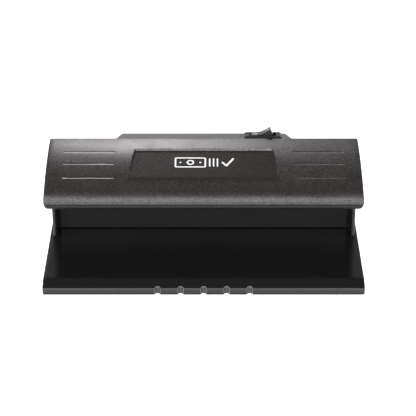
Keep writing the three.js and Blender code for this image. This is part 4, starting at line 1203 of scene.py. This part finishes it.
def lamp_holder(side):
    """A lampholder: a rotor seat, a slot for the tube's pins and a chamber for its contacts."""
    start, end = sorted((side * 106.6, side * 116.6))
    bottom, top = 61.0, 77.6
    low, high = y(TUBE_BACK - 8.2), y(TUBE_BACK + 8.2)
    corners = [(low, bottom, 0.5), (high, bottom, 0.5), (high, top - 4, 1), (high - 3, top, 1.5)]
    corners += [(low + 5, top, 2), (low, top - 5, 2)]
    body = moulded(rounded(corners), start, end, 0.4, 0.4, along_x)
    seat = sorted((side * 104.1, side * 111.1))
    slot = box_outline(*sorted((side * 100, side * 114)), y(TUBE_BACK - 1.6), y(TUBE_BACK + 1.6))
    chamber_x = sorted((side * 110, side * 114.2))
    chamber = moulded(oblong(4.9, 7, 0.6, (AXIS[0], 69.6)), *chamber_x, place=along_x)
    return cut(body, rod(6.3, *seat, AXIS, along_x, 48), moulded(slot, 50, TUBE_AXIS), chamber)


def holder_rotor(side):
    start, end = sorted((side * 107, side * 111))
    disc = moulded(circle(6, AXIS, 56), start, end, 0.3, 0.3, along_x, steps=3)
    slot = moulded(oblong(6.45, 1.5, 0.6, (AXIS[0] - 2.55, AXIS[1])), start - 1, end + 1, place=along_x)
    return cut(disc, slot)


piece(glass_tube(), "violet_tube", ["uv_tube"], "uv_glass", GLASS, body="lamp")
for side_name, side in SIDES:
    node = f"tube_cap_{side_name}"
    piece(tube_cap(side), f"end_cap_{side_name}", [node], "aluminium", ALUMINIUM, body="lamp")
    for place_name, offset in (("front", -TUBE_PIN), ("rear", TUBE_PIN)):
        node = f"tube_pin_{side_name}_{place_name}"
        piece(tube_pin(side, offset), node + "_brass", [node], "brass", BRASS, body="lamp")
    node = f"lampholder_rotor_{side_name}"
    rotor = holder_rotor(side)
    piece(rotor, f"holder_rotor_{side_name}", [node], "white_plastic", WHITE_PLASTIC, body="lamp")
    node = f"lampholder_{side_name}"
    piece(lamp_holder(side), f"lamp_holder_{side_name}", [node], "white_plastic", WHITE_PLASTIC)


def reflector_sheet():
    """A folded aluminium sheet over the tube, with rounded bends."""
    line = [(51.5, 61, 0), (57, 61, 0.8), (59.5, 72.6, 2.5), (65, 77.4, 3), (80, 81.4, 3), (85.8, 76.2, 2.5),
            (88.2, 61, 0.8), (92.6, 61, 0)]
    bends = rounded([(y(b), z, r) for b, z, r in line])
    inner = [(a.x, a.y) for a in bends]
    outer = []
    for i, here in enumerate(bends):
        along = (here - bends[max(i - 1, 0)]) if i else (bends[1] - here)
        onward = (bends[i + 1] - here) if i < len(bends) - 1 else along
        normal = Vector((-along.y, along.x)).normalized() + Vector((-onward.y, onward.x)).normalized()
        outer.append(here + normal * (2 * 0.7 / normal.length_squared))
    outline = [Vector(p) for p in inner] + list(reversed(outer))
    return moulded(outline, -103, 103, place=along_x)


piece(reflector_sheet(), "reflector_sheet", ["reflector"], "aluminium", ALUMINIUM)


# ---- rocker switch
BEZEL_TOP = 1.7
PIVOT_Z = BEZEL_TOP - 3.54
ROCKER_TILT = math.radians(17.5)


def switch_housing():
    """The switch's moulding: a bezel with stepped ends, and a body with a well for the rocker."""
    bezel = moulded(oblong(15.75, 6.3, 0.7), 0.08, 0.95, 0, 0.3)
    land = moulded(oblong(14.9, 6.0, 0.5), 0.5, BEZEL_TOP, 0, 0.4)
    stem = moulded(oblong(13.4, 5.5, 0.5), -16, 0.6, 0.4)
    made = joined(bezel, land, stem)
    holes = [moulded(oblong(11.3, 5, 0.3), -14, 10), rod(1.3, -10, 10, (0, PIVOT_Z), along_y, 24)]
    for x in (-13.75, -12.3, 12.3, 13.75):
        holes.append(moulded(oblong(0.34, 4.9, 0.2, (x, 0)), 0.7, 5))
    holes += [moulded(oblong(0.7, 2.7, 0.1, (x, 0)), -18, -12) for x in (0, -8)]
    return in_switch_frame(cut(made, *holes))


def rocker_surface(x):
    """The rocker's hollow top, over its pivot."""
    return 4.9 + 1.83 * (abs(x) / 8.57) ** 1.8


def rocker_paddle():
    steps = [8.3 * k / 14 for k in range(15)]
    top = [(x, rocker_surface(x)) for x in steps]
    side = rounded([(0, 0, 0), (0, rocker_surface(8.3), 0), (8.57, 6.73, 0.3), (9.66, 0.6, 1.5),
                    (8.6, -2.2, 0.6), (2.6, -2.2, 0.8), (1.9, -6, 0.4), (0, -6, 0)])
    right = top + [tuple(p) for p in side[2:-1]]
    left = [(-a, b) for a, b in reversed(right[1:])]
    outline = [Vector(p) for p in right + [(0.0, -6.0)] + left]
    outline.reverse()
    paddle = moulded(outline, -4.7, 4.7, 0.35, 0.35, along_y, steps=4)
    bores = [rod(1.3, -10, 10, (0, 0), along_y, 24), rod(1.2, -9, -2.9, (0, 0), count=24)]
    return cut(paddle, *bores)


def on_rocker(made):
    """Tips the rocker to its resting place, with the left end pressed."""
    made.data.transform(Matrix.Translation((0, 0, PIVOT_Z)) @ Matrix.Rotation(-ROCKER_TILT, 4, "Y"))
    return in_switch_frame(made)


def rocker_mark(outer, inner):
    """A printed mark that follows the rocker's hollow top, between an outer and an inner outline."""
    levels = [(outer, -0.15), (outer, 0.07), (inner, 0.07), (inner, -0.15)]
    made = bmesh.new()
    rings = [[made.verts.new((p.x, p.y, rocker_surface(p.x) + lift)) for p in line] for line, lift in levels]
    for ring, onward in zip(rings, rings[1:] + rings[:1]):
        add_quads(made, ring, onward)
    return on_rocker(mesh_object(made))


piece(switch_housing(), "switch_housing", ["switch_body"], "switch_black", SWITCH_PLASTIC)
piece(on_rocker(rocker_paddle()), "rocker", ["rocker_paddle"], "switch_black", SWITCH_PLASTIC, body="rocker")
ring = rocker_mark(circle(1.7, (-4.9, 0), 36), circle(1.2, (-4.9, 0), 36))
piece(ring, "rocker_mark_off", [], None, PRINT, body="rocker")
stroke = rocker_mark(oblong(1.7, 0.28, 0.2, (5.6, 0)), oblong(1.4, 0.04, 0.03, (5.6, 0)))
piece(stroke, "rocker_mark_on", [], None, PRINT, body="rocker")


# ---- CAD nodes that keep their shape
KEPT_NODES = (
    (LAMINATE, 0.1, ["circuit_board"]),
    (FERRITE, 0.4, ["choke_core"]),
    (COPPER, 0.8, ["choke_winding"]),
    (SLEEVE, 0.5, ["storage_capacitor"]),
    (FILM, 0.5, ["film_capacitor_left", "film_capacitor_right"]),
    (WHITE_PLASTIC, 0.3, ["fuse", "mains_terminal", "lamp_terminal"]),
    (STEEL, 0.1, ["board_screw_left", "board_screw_right", "rocker_pivot_pin"]),
    (BRASS, 0.05, ["rocker_plunger", "contact_blade"]),
    (BRASS, 0.1, ["centre_terminal", "end_terminal"]),
)
for finish, bevel, nodes in KEPT_NODES:
    for node in nodes:
        dress(node, finish, bevel)


# ---- wires
def flowing(points, share=14):
    """A centripetal Catmull-Rom curve through the points, as a fine polyline."""
    line = [Vector((x, y(back), z)) for x, back, z in points]
    line = [2 * line[0] - line[1], *line, 2 * line[-1] - line[-2]]
    fine = []
    for a, b, c, d in zip(line, line[1:], line[2:], line[3:]):
        k1 = math.sqrt((b - a).length)
        k2 = k1 + math.sqrt((c - b).length)
        k3 = k2 + math.sqrt((d - c).length)
        for i in range(share):
            k = k1 + (k2 - k1) * i / share
            p, q, r = a.lerp(b, k / k1), b.lerp(c, (k - k1) / (k2 - k1)), c.lerp(d, (k - k2) / (k3 - k2))
            fine.append(p.lerp(q, k / k2).lerp(q.lerp(r, (k - k1) / (k3 - k1)), (k - k1) / (k2 - k1)))
    return fine + [line[-2]]


def wire(points, radius, sides=16):
    """A round insulated wire with bared, narrower ends."""
    path = flowing(points)
    rings = []
    normal = Vector((0.3, 0.2, 1)).cross(path[1] - path[0]).normalized()
    for i, at in enumerate(path):
        along = (path[min(i + 1, len(path) - 1)] - path[max(i - 1, 0)]).normalized()
        normal = (normal - along * normal.dot(along)).normalized()
        across = along.cross(normal)
        near = min(i, len(path) - 1 - i)
        size = radius * (0.55 if near < 2 else 0.9 if near < 3 else 1)
        turns = [2 * math.pi * k / sides for k in range(sides)]
        rings.append([at + (normal * math.cos(t) + across * math.sin(t)) * size for t in turns])
    return loft(rings)


TAB = RIDGE_REAR - 24.2
WIRES = {
    "live_wire": (RED_WIRE, "wire_red", 0.9, [
        (INLET_X + INLET_PIN, TAB - 0.4, INLET_Z), (INLET_X + INLET_PIN, TAB - 1, INLET_Z + 5),
        (INLET_X + INLET_PIN + 2, 101, 46),
        (SWITCH_X + 3, 108, 58), (SWITCH_X + 1.8, 110.9, 66),
    ]),
    "switched_live_wire": (RED_WIRE, "wire_red", 0.9, [
        (SWITCH_X - 9.6, 110.9, 66), (SWITCH_X - 12, 109, 58), (20, 104, 51), (-8, 107.2, 50), (-22, 109, 48),
        (-23, 107.5, 46),
    ]),
    "neutral_wire": (BLUE_WIRE, "wire_blue", 0.9, [
        (INLET_X - INLET_PIN, TAB - 0.4, INLET_Z), (INLET_X - INLET_PIN - 3, TAB - 1, INLET_Z + 1),
        (20, 100, 38), (-8, 106, 42), (-27, 109.5, 44), (-31, 107.5, 46),
    ]),
    "lamp_lead_left": (WHITE_WIRE, "wire_white", 1.1, [
        (-117.8, TUBE_BACK, 68), (-120, TUBE_BACK + 2, 66), (-120.5, 84, 63.6), (-114, 96, 62.6),
        (-108, 101, 58), (-101, 109, 50), (-98, 107.5, 47),
    ]),
    "lamp_lead_right": (WHITE_WIRE, "wire_white", 1.1, [
        (117.8, TUBE_BACK, 68), (120, TUBE_BACK + 2, 66), (120.5, 84, 63.6), (114, 96, 62.6), (104, 101, 58),
        (80, 104, 56.5), (20, 101, 57), (-30, 103, 56.5), (-74, 106, 55), (-87, 109, 50), (-90, 107.5, 47),
    ]),
}
for node, (finish, slot, radius, points) in WIRES.items():
    piece(wire(points, radius), node + "_insulated", [node], slot, finish)


# ---- stage, light and camera
def studio_floor():
    """A pale, matt, faintly mottled floor far wider than the object."""
    made, tree = surface("studio_floor")
    inputs = {
        "Base Color": tinted(tree, (0.86, 0.86, 0.86), 0.985, 1.0, noise(tree, 60, 3)),
        "Roughness": ranged(tree, noise(tree, 25, 3), 0.3, 0.7, 0.8, 0.9),
        "Specular IOR Level": 0.1,
        "Emission Color": (1, 1, 1, 1),
        "Emission Strength": 1.0,
    }
    finished(made, inputs, (noise(tree, 8, 2), 0.02))
    floor = rod(4000, -1.0, 0.0, (0, 0), count=96)
    floor.name = "studio_floor"
    floor.data.transform(Matrix.Scale(MM, 4))
    floor.data.materials.append(made)


def studio_sky():
    """Pale near the horizon and dimmer overhead, as in a room with white walls."""
    world = bpy.data.worlds.new("studio")
    bpy.context.scene.world = world
    world.use_nodes = True
    tree = world.node_tree
    up = add(tree, "SeparateXYZ", {"Vector": add(tree, "TexCoord").outputs["Generated"]}).outputs["Z"]
    shade_of = add(tree, "ValToRGB", {"Fac": up})
    stops = shade_of.color_ramp.elements
    stops[0].position, stops[0].color = 0.0, (1.15, 1.15, 1.15, 1)
    stops[1].position, stops[1].color = 0.95, (0.12, 0.12, 0.12, 1)
    for height, tone in ((0.25, 0.85), (0.5, 0.4)):
        stop = stops.new(height)
        stop.color = (tone, tone, tone, 1)
    tree.links.new(shade_of.outputs["Color"], tree.nodes["Background"].inputs["Color"])
    tree.nodes["Background"].inputs["Strength"].default_value = 1.0


def softbox(name, place, size, radiance, color=(1, 1, 1)):
    """A rectangular soft light in metres that faces the object."""
    lamp = bpy.data.lights.new(name, "AREA")
    lamp.shape = "RECTANGLE"
    lamp.color = color
    lamp.size, lamp.size_y = size
    lamp.energy = radiance * math.pi * size[0] * size[1]
    held = linked(name, lamp)
    held.location = place
    held.rotation_euler = (Vector((0, 0, 0.04)) - Vector(place)).to_track_quat("-Z", "Y").to_euler()
    held.visible_camera = False


def photo_camera():
    """Looks 30 degrees down over the front edge, from a little right of the middle."""
    lens = bpy.data.cameras.new("camera")
    lens.sensor_width = 36
    lens.lens = 134.567
    held = linked("camera", lens)
    held.location = Vector((3.565, FRONT - 1058.345, EDGE_TOP + 686.435)) * MM
    held.rotation_euler = (math.radians(60), 0, 0)
    bpy.context.scene.camera = held


studio_floor()
studio_sky()
softbox("rear_softbox", (-0.1, 1.08, 0.88), (0.16, 0.18), 66.0, (1.0, 0.96, 0.965))
softbox("front_softbox", (-0.2, -1.4, 0.5), (2.2, 1.0), 4.3)
softbox("left_softbox", (-1.3, -0.25, 0.7), (0.8, 0.6), 6.5)
softbox("right_softbox", (1.3, -0.25, 0.7), (0.8, 0.6), 4.0)
photo_camera()
bpy.context.scene.view_settings.view_transform = "Standard"
